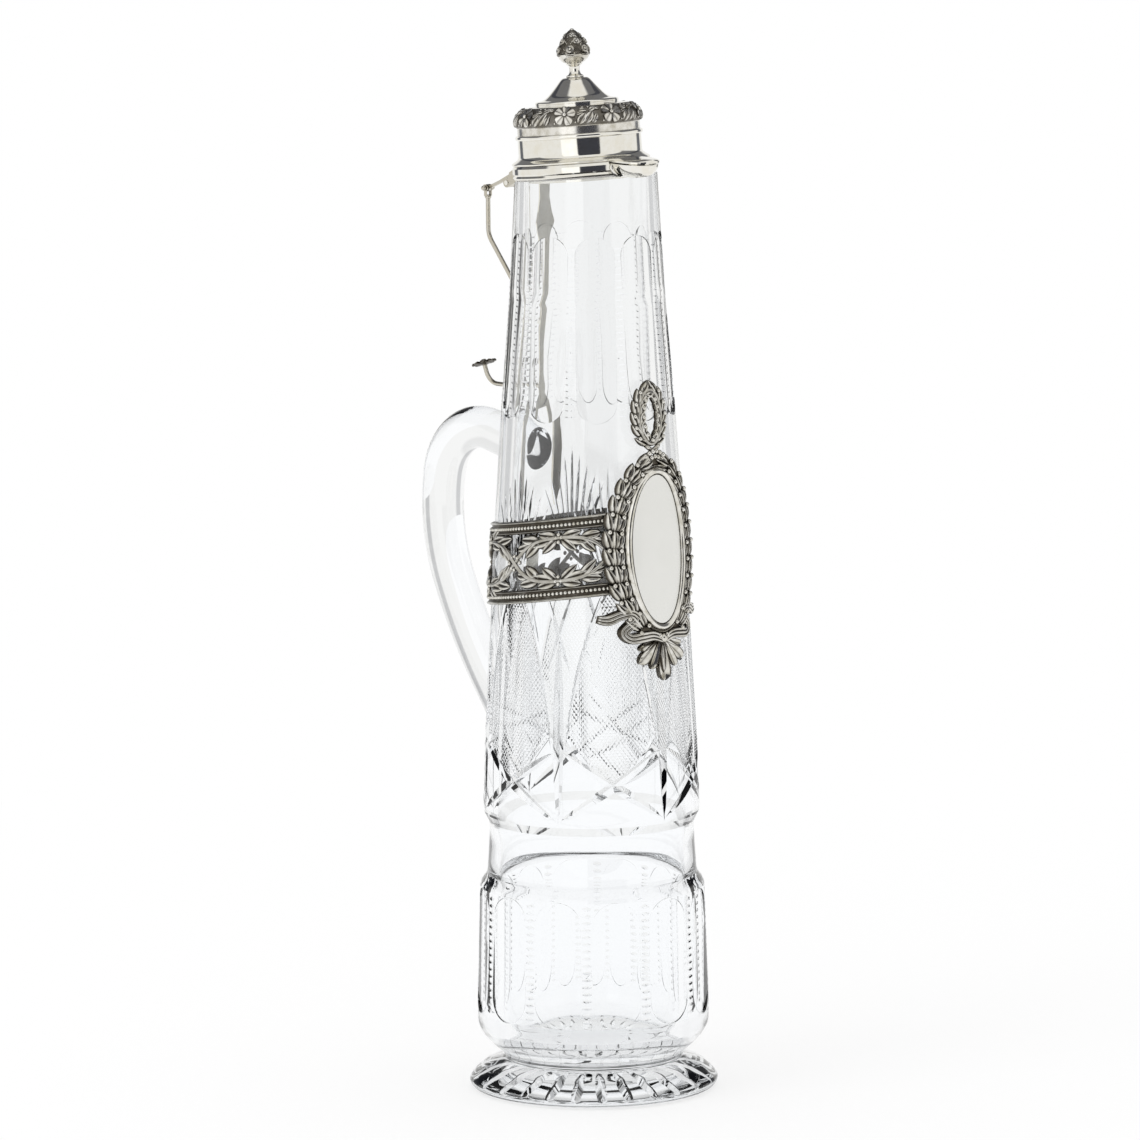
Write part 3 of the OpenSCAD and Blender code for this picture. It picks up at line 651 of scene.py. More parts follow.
def bent_line(steps, y, z, heading, pitch):
    """Centre line of a bent bar in the middle plane, as (y, z, heading). Each step is a straight run and then
    a bend of a radius and an angle, clockwise if positive; a heading of 0 is along +Y and 90 along +Z."""
    line = [(y, z, heading)]
    for run, radius, turn in steps:
        h = math.radians(heading)
        parts = math.ceil(run / pitch)
        line += [(y + run * k / parts * math.cos(h), z + run * k / parts * math.sin(h), heading)
                 for k in range(1, parts + 1)]
        y, z, heading = line[-1]
        side = math.copysign(1, turn)
        cy, cz = y + side * radius * math.sin(h), z - side * radius * math.cos(h)
        parts = math.ceil(math.radians(abs(turn)) * radius / pitch)
        for k in range(1, parts + 1):
            t = math.radians(heading - turn * k / parts)
            line.append((cy - side * radius * math.sin(t), cz + side * radius * math.cos(t), math.degrees(t)))
        y, z, heading = line[-1]
    return line


def bent_bar(bm, line, radius, sides):
    """Closed round bar along a line of (y, z, heading)."""
    loops = []
    for y, z, heading in line:
        h = math.radians(heading)
        made = bmesh.ops.create_circle(bm, segments=sides, radius=radius)["verts"]
        for v in made:
            v.co = Vector((v.co.x, y - v.co.y * math.sin(h), z + v.co.y * math.cos(h)))
        loops.append({e for v in made for e in v.link_edges})
    for a, b in zip(loops, loops[1:]):
        bmesh.ops.bridge_loops(bm, edges=list(a | b))
    bmesh.ops.holes_fill(bm, edges=[e for e in bm.edges if e.is_boundary])


def loop_handle():
    """Applied loop handle: one round bar from the neck to its pressed tail; both ends melt into the wall."""
    stub, rise = 24.0, 12.9
    start = (57.2 - stub * math.cos(math.radians(rise)), 256.85 - stub * math.sin(math.radians(rise)))
    bm = bmesh.new()
    steps = [(stub, 24.1, 92.2), (0, 72, 35.2), (0, 202, 12.3), (33, 1, 0)]
    bent_bar(bm, bent_line(steps, *start, rise, 3.0), 8.45, 40)
    piece = blank("handle_blank", bm)
    in_wall = 1.4                                       # the bar ends this far outside the glass's inside
    cutter = bmesh.new()
    spun(cutter, [(0, 90)] + [(lookup(z, INSIDE) + in_wall, z) for z in range(90, 300, 6)] + [(0, 294)], 160)
    carve(piece, cutter)
    return piece


# ---------------------------------------------------------------- shapes that repeat

def slab(across, along):
    """Unit slab of a leaf or a ribbon: x from -1 to 1 across it, y from 0 to 1 along it, z 1 on its face and
    0 on its back."""
    def make(bm):
        bmesh.ops.create_grid(bm, x_segments=across, y_segments=along, size=1)
        for v in bm.verts:
            v.co = Vector((v.co.x, (v.co.y + 1) / 2, 1))
        for v in raised(bm, bm.faces[:]):
            v.co.z = 0
    return unit(make)


def pearl_mesh():
    return unit(lambda bm: bmesh.ops.create_uvsphere(bm, u_segments=8, v_segments=5, radius=1))


def leaf(bm, spot, x, y, turn, length, width, rise, low=0.0, petal=False, mesh=None):
    """Leaf or petal on the surface spot(x, y, lift), from its stalk at (x, y); turn is clockwise from up, in
    degrees. A leaf has a sunk midrib; a petal is widest near its end and cupped."""
    turn = math.radians(turn)
    along, across = (math.sin(turn), math.cos(turn)), (math.cos(turn), -math.sin(turn))

    def place(v):
        t, side = min(max(v.y, 0.0), 1.0), abs(v.x)
        if petal:
            share = min(t + 0.08, 1.0) ** 0.7 * math.sqrt(max(1 - max(0.0, (t - 0.62) / 0.38) ** 2, 0.02))
            crown = (0.45 + 0.55 * side) * (0.35 + 0.65 * t) * (1 if t < 0.97 else 0.6)
        else:
            share = max(math.sin(math.pi * t ** 0.85), 0.0) ** 0.7
            dome = 1 - (2 * side - 1) ** 2 if side > 0.5 else 0.45 + 0.55 * (1 - (1 - 2 * side) ** 2)
            crown = 0.15 + 0.85 * dome * max(math.sin(math.pi * t), 0.0) ** 0.5
        u = v.x * max(share * width / 2, 0.05)
        w = t * length
        return spot(x + along[0] * w + across[0] * u, y + along[1] * w + across[1] * u,
                    low + (rise * crown if v.z > 0.5 else 0.0))

    # Clean on the crowns; the midrib, the edges and the stalk end are darkened, as tarnish and as painted
    # shade.
    def polish_and_shade(v):
        side = abs(v.x)
        vein = 0.5 if petal else 0.15
        crown = vein if side < 0.1 else 0.0 if side > 0.95 else 1.0 if petal or side > 0.5 else 0.8
        return crown * min(1.0, 0.25 + 3.5 * v.y) if v.z > 0.5 else 0.0
    put(bm, mesh or LEAF, place, polish_and_shade)


def pearl(bm, spot, x, y, radius, lift):
    centre = spot(x, y, lift)
    out = Vector((centre.x, centre.y, 3.0)).normalized()
    # Clean on the pearl's outer face, tilted slightly up; its back is darkened, as tarnish and as painted
    # shade.
    put(bm, PEARL, lambda v: centre + v * radius, lambda v: 0.45 + 0.9 * v.dot(out))


def ribbon(bm, spot, line, ridges, crest, low):
    """Fluted ribbon along a line of (x, height, lift, half width); its ridges stand up by crest."""
    path = smooth_outline(line, 5)
    last = len(path) - 1

    def place(v):
        i = min(int(v.y * last), last - 1)
        f = v.y * last - i
        x, y, lift, half = (a + (b - a) * f for a, b in zip(path[i], path[i + 1]))
        j = min(i + 2, last)
        dx, dy = path[j][0] - path[max(i - 1, 0)][0], path[j][1] - path[max(i - 1, 0)][1]
        size = math.hypot(dx, dy)
        wave = crest * abs(math.cos(math.pi * ridges * v.x / 2)) if abs(v.x) < 0.99 else -0.25
        return spot(x + dy / size * v.x * half, y - dx / size * v.x * half, lift + wave if v.z > 0.5 else low)

    # Clean on the ridges; the flutes and the edges are darkened, as tarnish and as painted shade.
    def polish_and_shade(v):
        if v.z < 0.5 or abs(v.x) > 0.95:
            return 0.0
        return 0.15 + 0.85 * abs(math.cos(math.pi * ridges * v.x / 2))
    put(bm, RIBBON, place, polish_and_shade)


def tube(bm, line, radius, sides=8, closed=False):
    """Round bar along a line of points; radius is one number or one for each point."""
    polish_shade = polish_and_shade_layer(bm)
    loops = []
    for i, p in enumerate(line):
        before = line[i - 1] if i or closed else p
        after = line[(i + 1) % len(line)] if i < len(line) - 1 or closed else p
        turn = (after - before).to_track_quat("Z", "Y").to_matrix().to_4x4()
        size = radius[i] if isinstance(radius, list) else radius
        made = bmesh.ops.create_circle(bm, segments=sides, radius=size, matrix=Matrix.Translation(p) @ turn)
        for v in made["verts"]:
            v[polish_shade] = 0.75
        loops.append({e for v in made["verts"] for e in v.link_edges})
    for a, b in list(zip(loops, loops[1:])) + ([(loops[-1], loops[0])] if closed else []):
        bmesh.ops.bridge_loops(bm, edges=list(a | b))
    if not closed:
        bmesh.ops.holes_fill(bm, edges=[e for e in bm.edges if e.is_boundary])


# ---------------------------------------------------------------- band

BAND_R = 39.5
STEM_H = 8.4


def band_spot(x, h, lift):
    return on_band(math.degrees(x / BAND_R), h, lift)


def band_rim(name, side, node):
    """Moulded rim: a plain half round on the outside, then a row of pearls and a thin wire towards the
    openwork."""
    profile = [(10.9, 0.3), (10.9, 0.8), (11.15, 1.2), (11.5, 1.4), (11.85, 1.2), (12.05, 0.75), (14.3, 0.75),
               (14.75, 0.9), (15.0, 1.35), (15.4, 1.65), (15.8, 1.4), (16.0, 0.9), (16.0, 0.3)]
    bm = bmesh.new()
    spun(bm, [(BAND_R + lift, h) for h, lift in profile], 216, closed=True)
    # The raised half round and wire stay clean; the flat between them is darkened, as tarnish and as painted
    # shade.
    set_polish_and_shade(bm, lambda co: 0.75 if math.hypot(co.x, co.y) - BAND_R > 1.3 else 0.15)
    for v in bm.verts:
        az = math.degrees(math.atan2(v.co.x, -v.co.y))
        v.co = on_band(az, side * v.co.z, math.hypot(v.co.x, v.co.y) - BAND_R)
    count = 148
    for i in range(count):
        pearl(bm, band_spot, 2 * math.pi * BAND_R * i / count, side * 13.2, 0.8, 1.0)
    finish_piece(name, bm, AGED_AND_SHADED, "jug", "dark_silver", node, sharp=50.0)


def stem_height(az, side):
    """The two stems of the sprigs swing from rim to rim and cross six times."""
    swing = math.cos(math.radians(3 * az))
    return side * STEM_H * math.tanh(1.5 * swing) / math.tanh(1.5)


SPRIG_LEAVES = ((1.0, 15, 9.0, 4.4), (1.4, -10, 12.5, 4.6), (0.8, -38, 9.0, 4.0), (12.5, 24, 9.5, 4.6),
                (12.0, -26, 9.5, 4.4), (19.0, 22, 7.0, 3.8))  # degrees from the knot, tilt, length, width


def laurel_sprigs():
    """Two leafy stems that cross six times; at each rim a knot of berries holds the leaves of both sides."""
    bm = bmesh.new()
    for side in (-1, 1):
        line = []
        for i in range(180):
            over = 1.2 + 0.25 * side * math.sin(math.radians(3 * 2 * i))
            line.append(on_band(2 * i, stem_height(2 * i, side), over))
        tube(bm, line, 0.85, 8, closed=True)
    for i in range(6):
        for side in (-1, 1):                            # at the rim
            for way in (-1, 1):                         # left and right of the knot
                for start, tilt, length, width in SPRIG_LEAVES:
                    az = 60 * i + way * start
                    ahead = stem_height(az + way * 6, side) - stem_height(az, side)
                    run = math.radians(6) * BAND_R
                    heading = math.degrees(math.atan2(way * run, ahead))
                    turn = heading + way * side * tilt
                    leaf(bm, band_spot, math.radians(az) * BAND_R, stem_height(az, side), turn, length, width,
                         1.6, low=0.3)
            x = math.radians(60 * i) * BAND_R
            for dx, dh in ((-1.1, 0), (1.1, 0), (0, -1.7), (0, 1.2)):
                pearl(bm, band_spot, x + dx, side * (STEM_H + dh), 0.8, 1.6)
        x = math.radians(60 * i + 30) * BAND_R
        for dx, dh in ((0, 2.6), (0, -2.6), (2.9, 0), (-2.9, 0), (1.6, 1.9), (-1.6, -1.9), (-1.6, 1.9),
                       (1.6, -1.9), (0, 0)):
            pearl(bm, band_spot, x + dx, dh, 0.85, 1.4)
    finish_piece("laurel_sprigs", bm, AGED_AND_SHADED, "jug", "dark_silver", "band_openwork", sharp=60.0)


# ---------------------------------------------------------------- cartouche

PLAQUE_Z = 219.0
PLAQUE_W, PLAQUE_H = 12.5, 29.0  # half width and half height
BACK = 2.0               # the cartouche's back lies this far over the glass, on the band's rims


def front_half(side, middle=0.0):
    """Surface of the front of the glass for one side of the cartouche: 1 is +X and -1 its mirror image.
    Heights count from a middle."""
    return lambda x, y, lift: on_front(side * x, middle + y, lift)


def beside(x, y, heading, out):
    """Place at a distance to the right of a heading."""
    a = math.radians(heading)
    return x + out * math.cos(a), y - out * math.sin(a)


def oval_ring(profile):
    """Open ring round the cartouche's middle; its profile is [half width, half height, lift, cleanness against
    tarnish and painted shade].
    """
    bm = bmesh.new()
    size = 10.0
    spun(bm, [(size + i, 0.0) for i in range(len(profile))], 160)
    polish_shade = polish_and_shade_layer(bm)
    for v in bm.verts:
        i = round(math.hypot(v.co.x, v.co.y) - size)
        a = math.atan2(v.co.y, v.co.x)
        w, h, lift, shine = profile[i]
        v.co = on_front(w * math.cos(a), PLAQUE_Z + h * math.sin(a), lift)
        v[polish_shade] = shine
    return bm


def close_ring(bm):
    """Joins the inner and the outer edge of a ring along its back."""
    bmesh.ops.bridge_loops(bm, edges=[e for e in bm.edges if e.is_boundary])


def plaque_mouldings():
    """Dark line round the plaque, broad bright moulding, second dark line and a fine bright wire."""
    # The last number of each step is how clean it is: the two dark lines and the back are darkened, as tarnish
    # and as painted shade.
    steps = ((-0.05, 0.1, 0), (-0.05, 1.3, 0), (0.3, 1.2, 0), (0.5, 1.8, 0.8), (0.85, 2.35, 1),
             (1.5, 2.75, 1), (2.1, 2.65, 1), (2.6, 2.2, 1), (2.95, 1.5, 0.6), (3.05, 1.0, 0), (3.4, 1.0, 0),
             (3.5, 1.5, 0.8), (3.8, 1.75, 1), (4.1, 1.5, 0.8), (4.25, 1.0, 0), (4.4, 0.8, 0), (4.4, 0.1, 0))
    bm = oval_ring([(PLAQUE_W + d, PLAQUE_H + d * 0.9, BACK + lift, shine) for d, lift, shine in steps])
    close_ring(bm)
    finish_piece("plaque_mouldings", bm, MOULDED, "jug", "silver", "plaque_frame", sharp=50.0)


def oval_places(half_w, half_h, low, high, count):
    """Equally spaced (x, height, heading) up the right side of an oval between two angles; each heading aims
    at the next place."""
    fine, total = [], [0.0]
    for k in range(241):
        a = math.radians(low + (high - low) * k / 240)
        fine.append((half_w * math.cos(a), half_h * math.sin(a)))
    for p, q in zip(fine, fine[1:]):
        total.append(total[-1] + math.dist(p, q))
    places = [next(f for f, t in zip(fine, total) if t >= total[-1] * n / count - 1e-6)
              for n in range(count + 1)]
    return [(*p, math.degrees(math.atan2(q[0] - p[0], q[1] - p[1]))) for p, q in zip(places, places[1:])]


def laurel_frame():
    """Ring of laurel round the mouldings, that grows up both sides from the bow."""
    steps = ((4.45, 0.1), (4.45, 0.7), (6.0, 0.8), (7.6, 0.9), (8.3, 0.7), (8.3, 0.1))
    # The ground under the leaves is darkened with a cleanness of 0.12, as tarnish and as painted shade.
    bm = oval_ring([(PLAQUE_W + d, PLAQUE_H + d * 0.9, BACK + lift, 0.12) for d, lift in steps])
    close_ring(bm)
    for side in (-1, 1):
        spot = front_half(side, PLAQUE_Z)
        for x, y, heading in oval_places(19.3, 34.7, -62, 84, 11):
            for out, tilt, length, width, rise in ((1.2, 15, 7.8, 3.3, 1.8), (-1.2, -13, 7.6, 3.2, 1.8),
                                                   (0, 0, 8.2, 2.9, 2.4)):
                leaf(bm, spot, *beside(x, y, heading, out), heading + tilt, length, width, rise,
                     low=BACK + 0.4)
            for out in (-2.2, 2.1):
                pearl(bm, spot, *beside(x, y, heading, out), 1.0, BACK + 1.9)
    finish_piece("laurel_frame", bm, AGED_AND_SHADED, "jug", "dark_silver", "laurel_border", sharp=60.0)


def open_wreath():
    """Small wreath over the frame, with its two stalks crossed below it."""
    bm = bmesh.new()
    middle, low = 270.5, BACK - 0.9
    ring = [on_front(5.7 * math.cos(math.radians(a)), middle + 10.6 * math.sin(math.radians(a)), low + 0.7)
            for a in range(0, 360, 6)]
    tube(bm, ring, 0.9, 8, closed=True)
    for side in (-1, 1):
        spot = front_half(side, middle)
        for x, y, heading in oval_places(5.7, 10.6, -78, 86, 6):
            for out, tilt in ((0.9, 17), (-0.8, -15)):
                leaf(bm, spot, *beside(x, y, heading, out), heading + tilt, 6.6, 3.0, 2.0, low=low)
            for out in (-1.9, 2.0):
                pearl(bm, spot, *beside(x, y, heading, out), 0.9, low + 1.5)
        stalk = [on_front(side * x, z, low + 1.1)
                 for x, z in ((3.6, 259.6), (1.6, 258.2), (-1, 256.9), (-3.8, 255.8))]
        tube(bm, stalk, [0.8, 0.9, 0.9, 0.6], 8)
    finish_piece("open_wreath", bm, AGED_AND_SHADED, "jug", "dark_silver", "top_wreath", sharp=60.0)


def berries():
    bm = bmesh.new()
    for x, z in ((-4.6, 255.4), (-2.7, 256.5), (-0.9, 257.2), (0.9, 257.2), (2.7, 256.5), (4.6, 255.4),
                 (-3.4, 253.9), (-1.7, 254.8), (0, 255.2), (1.7, 254.8), (3.4, 253.9)):
        pearl(bm, on_front, x, z, 1.05, BACK + 1.3)
    finish_piece("berries", bm, AGED_AND_SHADED, "jug", "dark_silver", "berry_cluster", sharp=60.0)


BOW_RIBBON = [(0.6, 183.6, 3.7, 1.3), (5, 185.5, 4.0, 1.9), (10, 185.2, 3.9, 2.1), (14.6, 184.9, 3.4, 2.0),
              (16.7, 187.4, 3.0, 1.8), (14.3, 190.0, 3.3, 1.9), (11.9, 192.3, 3.7, 1.9),
              (13.9, 194.7, 4.0, 1.8), (18.2, 194.2, 3.4, 1.9), (22, 192.4, 2.6, 2.1), (25.0, 192.8, 2.2, 1.5)]


def bow():
    """Knot under the plaque with a palmette of fluted lobes, and a ribbon that winds out to each side."""
    bm = bmesh.new()
    low = BACK - 0.9
    for side in (-1, 1):
        spot = front_half(side)
        ribbon(bm, spot, BOW_RIBBON, 3, 0.45, low)
        for turn, length, width, lift in ((130, 13.6, 5.6, 0.5), (154, 12.4, 4.0, 0.8), (108, 10.6, 3.6, 0.2)):
            leaf(bm, spot, 1.0, 183.6, turn, length, width, 2.0, low=low + lift, petal=True,
                 mesh=BROAD_LEAF)
    leaf(bm, on_front, 0.0, 184.0, 180, 16.6, 7.6, 2.4, low=low + 0.5, petal=True, mesh=BROAD_LEAF)
    leaf(bm, on_front, 0.0, 182.4, 180, 12.0, 3.2, 1.4, low=low + 1.5)
    for x, z, r in ((0, 184.2, 1.9), (-1.9, 185.2, 1.2), (1.9, 185.2, 1.2)):
        pearl(bm, on_front, x, z, r, BACK + 1.3)
    finish_piece("bow", bm, AGED_AND_SHADED, "jug", "dark_silver", "ribbon_bow", sharp=60.0)


# ---------------------------------------------------------------- lid

CHASED = smooth_outline([(24.3, 14.9), (24.8, 15.9), (24.85, 17.0), (24.4, 18.7), (23.2, 20.4), (21.8, 21.6),
                         (20.4, 22.2)], 4)             # radius, height; the ground of the chased flowers
CHASED_LONG = [0.0]
for start, end in zip(CHASED, CHASED[1:]):
    CHASED_LONG.append(CHASED_LONG[-1] + math.dist(start, end))
LID_R = 24.0
FLOWERS = 8
FLOWER_AZ = -54.0
CHASED_LEAVES = ((4.9, 0.5, 38, 5.8, 3.5), (7.7, 0.8, 36, 6.2, 3.6), (5.2, 6.6, 98, 3.8, 2.2),
                 (9.2, 5.6, 62, 4.8, 2.2), (-4.4, 6.8, -84, 3.4, 1.7), (10.6, 0.6, 30, 4.6, 2.3),
                 (4.4, 4.4, 74, 3.2, 1.6))             # way round from a flower, way up, turn, length, width


def lid_spot(x, s, lift):
    """Point over the chased band: x is the way round it, s the way up its bulge from its lower edge."""
    s = min(max(s, 0.0), CHASED_LONG[-1] - 1e-4)
    i = next(k for k, long in enumerate(CHASED_LONG[1:]) if s < long)
    f = (s - CHASED_LONG[i]) / (CHASED_LONG[i + 1] - CHASED_LONG[i])
    (r0, z0), (r1, z1) = CHASED[i], CHASED[i + 1]
    slope = math.atan2(z1 - z0, r1 - r0)
    r = r0 + (r1 - r0) * f + lift * math.sin(slope)
    z = z0 + (z1 - z0) * f - lift * math.cos(slope)
    return LID @ at_angle(x / LID_R, r, z)


def chased_band():
    """Five-petalled flowers and slanting leaves chased round the lid's shoulder."""
    bm = bmesh.new()
    spun(bm, [(23.0, 11.7), (24.0, 11.7), (24.0, 14.6), (24.25, 14.75), *CHASED, (19.6, 21.4), (21.4, 20.2),
              (23.0, 18.0)], 192, closed=True)
    # The plain lower band stays clean; the chased ground is darkened, as tarnish and as painted shade.
    set_polish_and_shade(bm, lambda co: 1.0 if co.z < 14.8 else 0.42)
    bmesh.ops.transform(bm, matrix=LID, verts=bm.verts)
    for i in range(FLOWERS):
        x = math.radians(FLOWER_AZ + 360 / FLOWERS * i) * LID_R
        for k in range(5):
            turn = 72 * k + 8
            a = math.radians(turn)
            leaf(bm, lid_spot, x + 0.7 * math.sin(a), 4.7 + 0.7 * math.cos(a), turn, 3.6, 4.7, 0.75, petal=True)
        pearl(bm, lid_spot, x, 4.7, 0.85, 0.4)
        for dx, s, turn, length, width in CHASED_LEAVES:
            leaf(bm, lid_spot, x + dx, s, turn, length, width, 0.75)
        for dx, s in ((4.1, 1.5), (-3.9, 1.4), (9.6, 7.9), (7.2, 8.0)):
            pearl(bm, lid_spot, x + dx, s, 0.42, 0.15)
    finish_piece("chased_band", bm, CHASED_SILVER, "lid", "dark_silver", "lid_band", sharp=45.0)


def facing(centre, out):
    """Flat surface at a point, seen from outside along a direction."""
    turn = out.to_track_quat("Z", "Y").to_matrix()
    return lambda x, y, lift: centre + turn @ Vector((x, y, lift))


def rosette(bm, spot, radius):
    """Small curled rose."""
    for k in range(5):
        leaf(bm, spot, 0.0, 0.0, 72 * k, radius, radius * 1.15, radius * 0.30, low=-0.1, petal=True,
             mesh=SMALL_LEAF)
    curl = radius * 0.42
    ring = [spot(curl * math.cos(t * math.pi / 6), curl * math.sin(t * math.pi / 6), radius * 0.34)
            for t in range(12)]
    tube(bm, ring, radius * 0.17, 6, closed=True)
    pearl(bm, spot, 0, 0, radius * 0.22, radius * 0.36)


def flower_bud():
    """Bud in its cup, covered by three rows of roses with leaves between them."""
    cup = smooth_outline([(0, 39.0), (3.7, 39.0), (4.6, 39.5), (5.5, 40.4), (6.1, 41.5), (6.3, 42.2),
                          (5.6, 42.6)], 4)
    bud = smooth_outline([(5.6, 42.6), (5.9, 43.6), (5.6, 45.2), (4.7, 47.2), (3.4, 49.2), (1.9, 50.9),
                          (0.6, 51.8), (0, 51.9)], 4)
    bm = bmesh.new()
    spun(bm, cup + bud[1:], 64)
    # The cup stays clean; the bud under the roses is darkened, as tarnish and as painted shade.
    set_polish_and_shade(bm, lambda co: 1.0 if co.z < 42.3 else 0.3)
    for z, r, count, size, shift, up in ((43.9, 5.0, 6, 2.9, 0, 0.42), (46.9, 4.1, 5, 2.5, 30, 0.65),
                                         (49.3, 2.5, 4, 1.9, 10, 0.9)):
        for i in range(count):
            a = math.radians(shift + 360 * i / count + FLOWER_AZ)
            rosette(bm, facing(at_angle(a, r, z), at_angle(a, 1, up)), size)
            a += math.pi / count
            for lean in (-28, 28):
                leaf(bm, facing(at_angle(a, r, z), at_angle(a, 1, up)), 0.0, -1.6, lean, 3.6, 1.9, 0.8,
                     low=-0.1)
    pearl(bm, lambda x, y, lift: Vector((x, y, 51.3 + lift)), 0, 0, 1.0, 0)
    bmesh.ops.transform(bm, matrix=LID, verts=bm.verts)
    finish_piece("flower_bud", bm, CHASED_SILVER, "lid", "dark_silver", "finial", sharp=50.0)


def turned(name, outline, node):
    """Bright lathe-turned piece of the lid, from its closed outline."""
    bm = bmesh.new()
    spun(bm, outline, 192, closed=True)
    bmesh.ops.transform(bm, matrix=LID, verts=bm.verts)
    finish_piece(name, bm, BRIGHT, "lid", "silver", node, sharp=35.0)


def lid_pieces():
    flare = smooth_outline([(26.9, 0.15), (27.1, 0.8), (26.3, 1.4), (25.1, 2.2), (24.4, 3.0), (24.2, 4.0)], 4)
    turned("lid_wall", flare + [(24.2, 9.9), (23.2, 9.9), (23.2, 3.0), (20.9, 1.4), (20.9, 0.15)], "lid_shell")
    half_round = [(24.4 + 0.6 * math.cos(t), 10.8 + 0.9 * math.sin(t))
                  for t in (math.pi * k / 10 - math.pi / 2 for k in range(11))]
    turned("lid_wire", half_round + [(23.2, 11.7), (23.2, 9.9)], "lid_bead")
    dome = smooth_outline([(20.4, 22.25), (18.4, 22.55), (16.3, 22.7)], 3)[:-1]
    dome += smooth_outline([(16.3, 22.7), (16.25, 23.2), (16.35, 23.7), (16.1, 24.2), (15.5, 24.4)], 3)[:-1]
    dome += smooth_outline([(15.5, 24.4), (13.6, 24.75), (11.6, 25.9), (10.0, 27.5), (8.1, 29.6), (6.5, 31.5),
                            (5.4, 32.6), (4.2, 33.05), (1.2, 33.1)], 4)
    inner = [(1.2, 32.1), (4.2, 32.1), (5.6, 30.8), (7.2, 28.7), (9.1, 26.7), (10.8, 25), (13, 23.6),
             (15, 22), (19.6, 21.4)]
    turned("lid_cone", dome + inner, "lid_dome")
    stem = smooth_outline([(0, 33.1), (3.2, 33.1), (3.4, 33.5), (3.3, 33.9), (2.5, 34.4), (2.05, 35.6),
                           (2.0, 36.6), (2.3, 37.6), (3.0, 38.1), (3.2, 38.5), (3.7, 39.0)], 4)
    bm = bmesh.new()
    spun(bm, [(0, 29.5), (1.2, 29.5), (1.2, 33.1)] + stem[4:] + [(0, 39.0)], 96)
    bmesh.ops.transform(bm, matrix=LID, verts=bm.verts)
    finish_piece("finial_neck", bm, BRIGHT, "lid", "silver", "finial_stem", sharp=40.0)


# ---------------------------------------------------------------- spout and thumb rod

def spoon(v, root, half, deep, nose, thick):
    """Plan and depth of the lip at a point of a unit slab: straight sides, then round to the nose. Returns
    the place out along the lip, the half width and the depth."""
    bend, straight = 0.3, -6.0
    if v.y < bend:
        y, share = root + (straight - root) * v.y / bend, 1.0
    else:
        t = (v.y - bend) / (1 - bend) * math.pi / 2 * 0.99
        y, share = straight + (nose + thick - straight) * math.sin(t), math.cos(t)
    return y, (half - thick) * share, (deep - thick) * share ** 0.75


def pouring_lip():
    """Spoon-shaped lip whose floor rises round to the nose, with a rolled edge where it leaves the collar."""
    rim = -0.35

    def place(v):
        y, half, deep = spoon(v, -1.4, 8.8, 6.0, -16.4, 1.0 if v.z > 0.5 else 0.0)
        a = v.x * math.pi / 2
        return SPOUT @ Vector((half * math.sin(a), y, rim - deep * math.cos(a)))
    bm = bmesh.new()
    put(bm, slab(32, 24), place)
    for side in (-1, 1):
        roll = [SPOUT @ Vector((side * x, y, z)) for x, y, z in
                ((8.7, -2.6, -0.7), (8.8, -2.7, -2), (8.3, -3.0, -3.4), (7.0, -3.4, -4.7), (5.2, -3.7, -5.5))]
        tube(bm, roll, [0.5, 0.8, 0.8, 0.7, 0.3], 12)
    bmesh.ops.remove_doubles(bm, verts=bm.verts, dist=1e-4)
    finish_piece("pouring_lip", bm, BRIGHT, "jug", "silver", "spout", sharp=50.0)


def lid_tongue():
    """Thin domed tongue of the lid over the lip."""
    def place(v):
        y, half, _ = spoon(v, 0.5, 9.1, 1.0, -16.8, 0.0)
        return SPOUT @ Vector((half * v.x, y, 0.95 + 0.9 * (1 - v.x * v.x) ** 0.7 if v.z > 0.5 else 0.3))
    bm = bmesh.new()
    put(bm, slab(16, 20), place)
    bmesh.ops.remove_doubles(bm, verts=bm.verts, dist=1e-4)
    finish_piece("lid_tongue", bm, BRIGHT, "lid", "silver", "lid_beak", sharp=40.0)


def plate(bm, outline, half):
    """Flat bar across the middle plane, from its outline of (y, height)."""
    made = bm.faces.new([bm.verts.new((half, y, z)) for y, z in outline])
    for v in raised(bm, [made]):
        v.co.x = -half


def pivot(bm, y, z, radius, half):
    """Round boss across the middle plane."""
    bmesh.ops.create_cone(bm, cap_ends=True, segments=32, radius1=radius, radius2=radius, depth=2 * half,
                          matrix=Matrix.Translation((0, y, z)) @ Matrix.Rotation(math.pi / 2, 4, "Y"))


def hinge_arm():
    """Leaf that comes down from the lid's foot to the hinge, with the thin arm behind it."""
    bm = bmesh.new()
    plate(bm, [(27.5, 365.3), (27.5, 366.9), (31, 366.3), (35, 364.8), (39.5, 362.6), (43, 360.6),
               (42.8, 357), (39.2, 357), (38.8, 360.6), (34, 363.6), (30, 365)], 2.3)
    pivot(bm, 41, 357, 1.88, 2.3)
    plate(bm, [(39.5, 362.3), (44.5, 359.9), (50.8, 356.9), (58, 354.0), (57.6, 352.8), (50.3, 355.8),
               (44, 358.8), (40, 360.4)], 0.55)
    pivot(bm, 58.2, 353.4, 1.45, 0.7)
    finish_piece("hinge_arm", bm, WORN, "lid", "silver", "lid_lever", sharp=30.0)


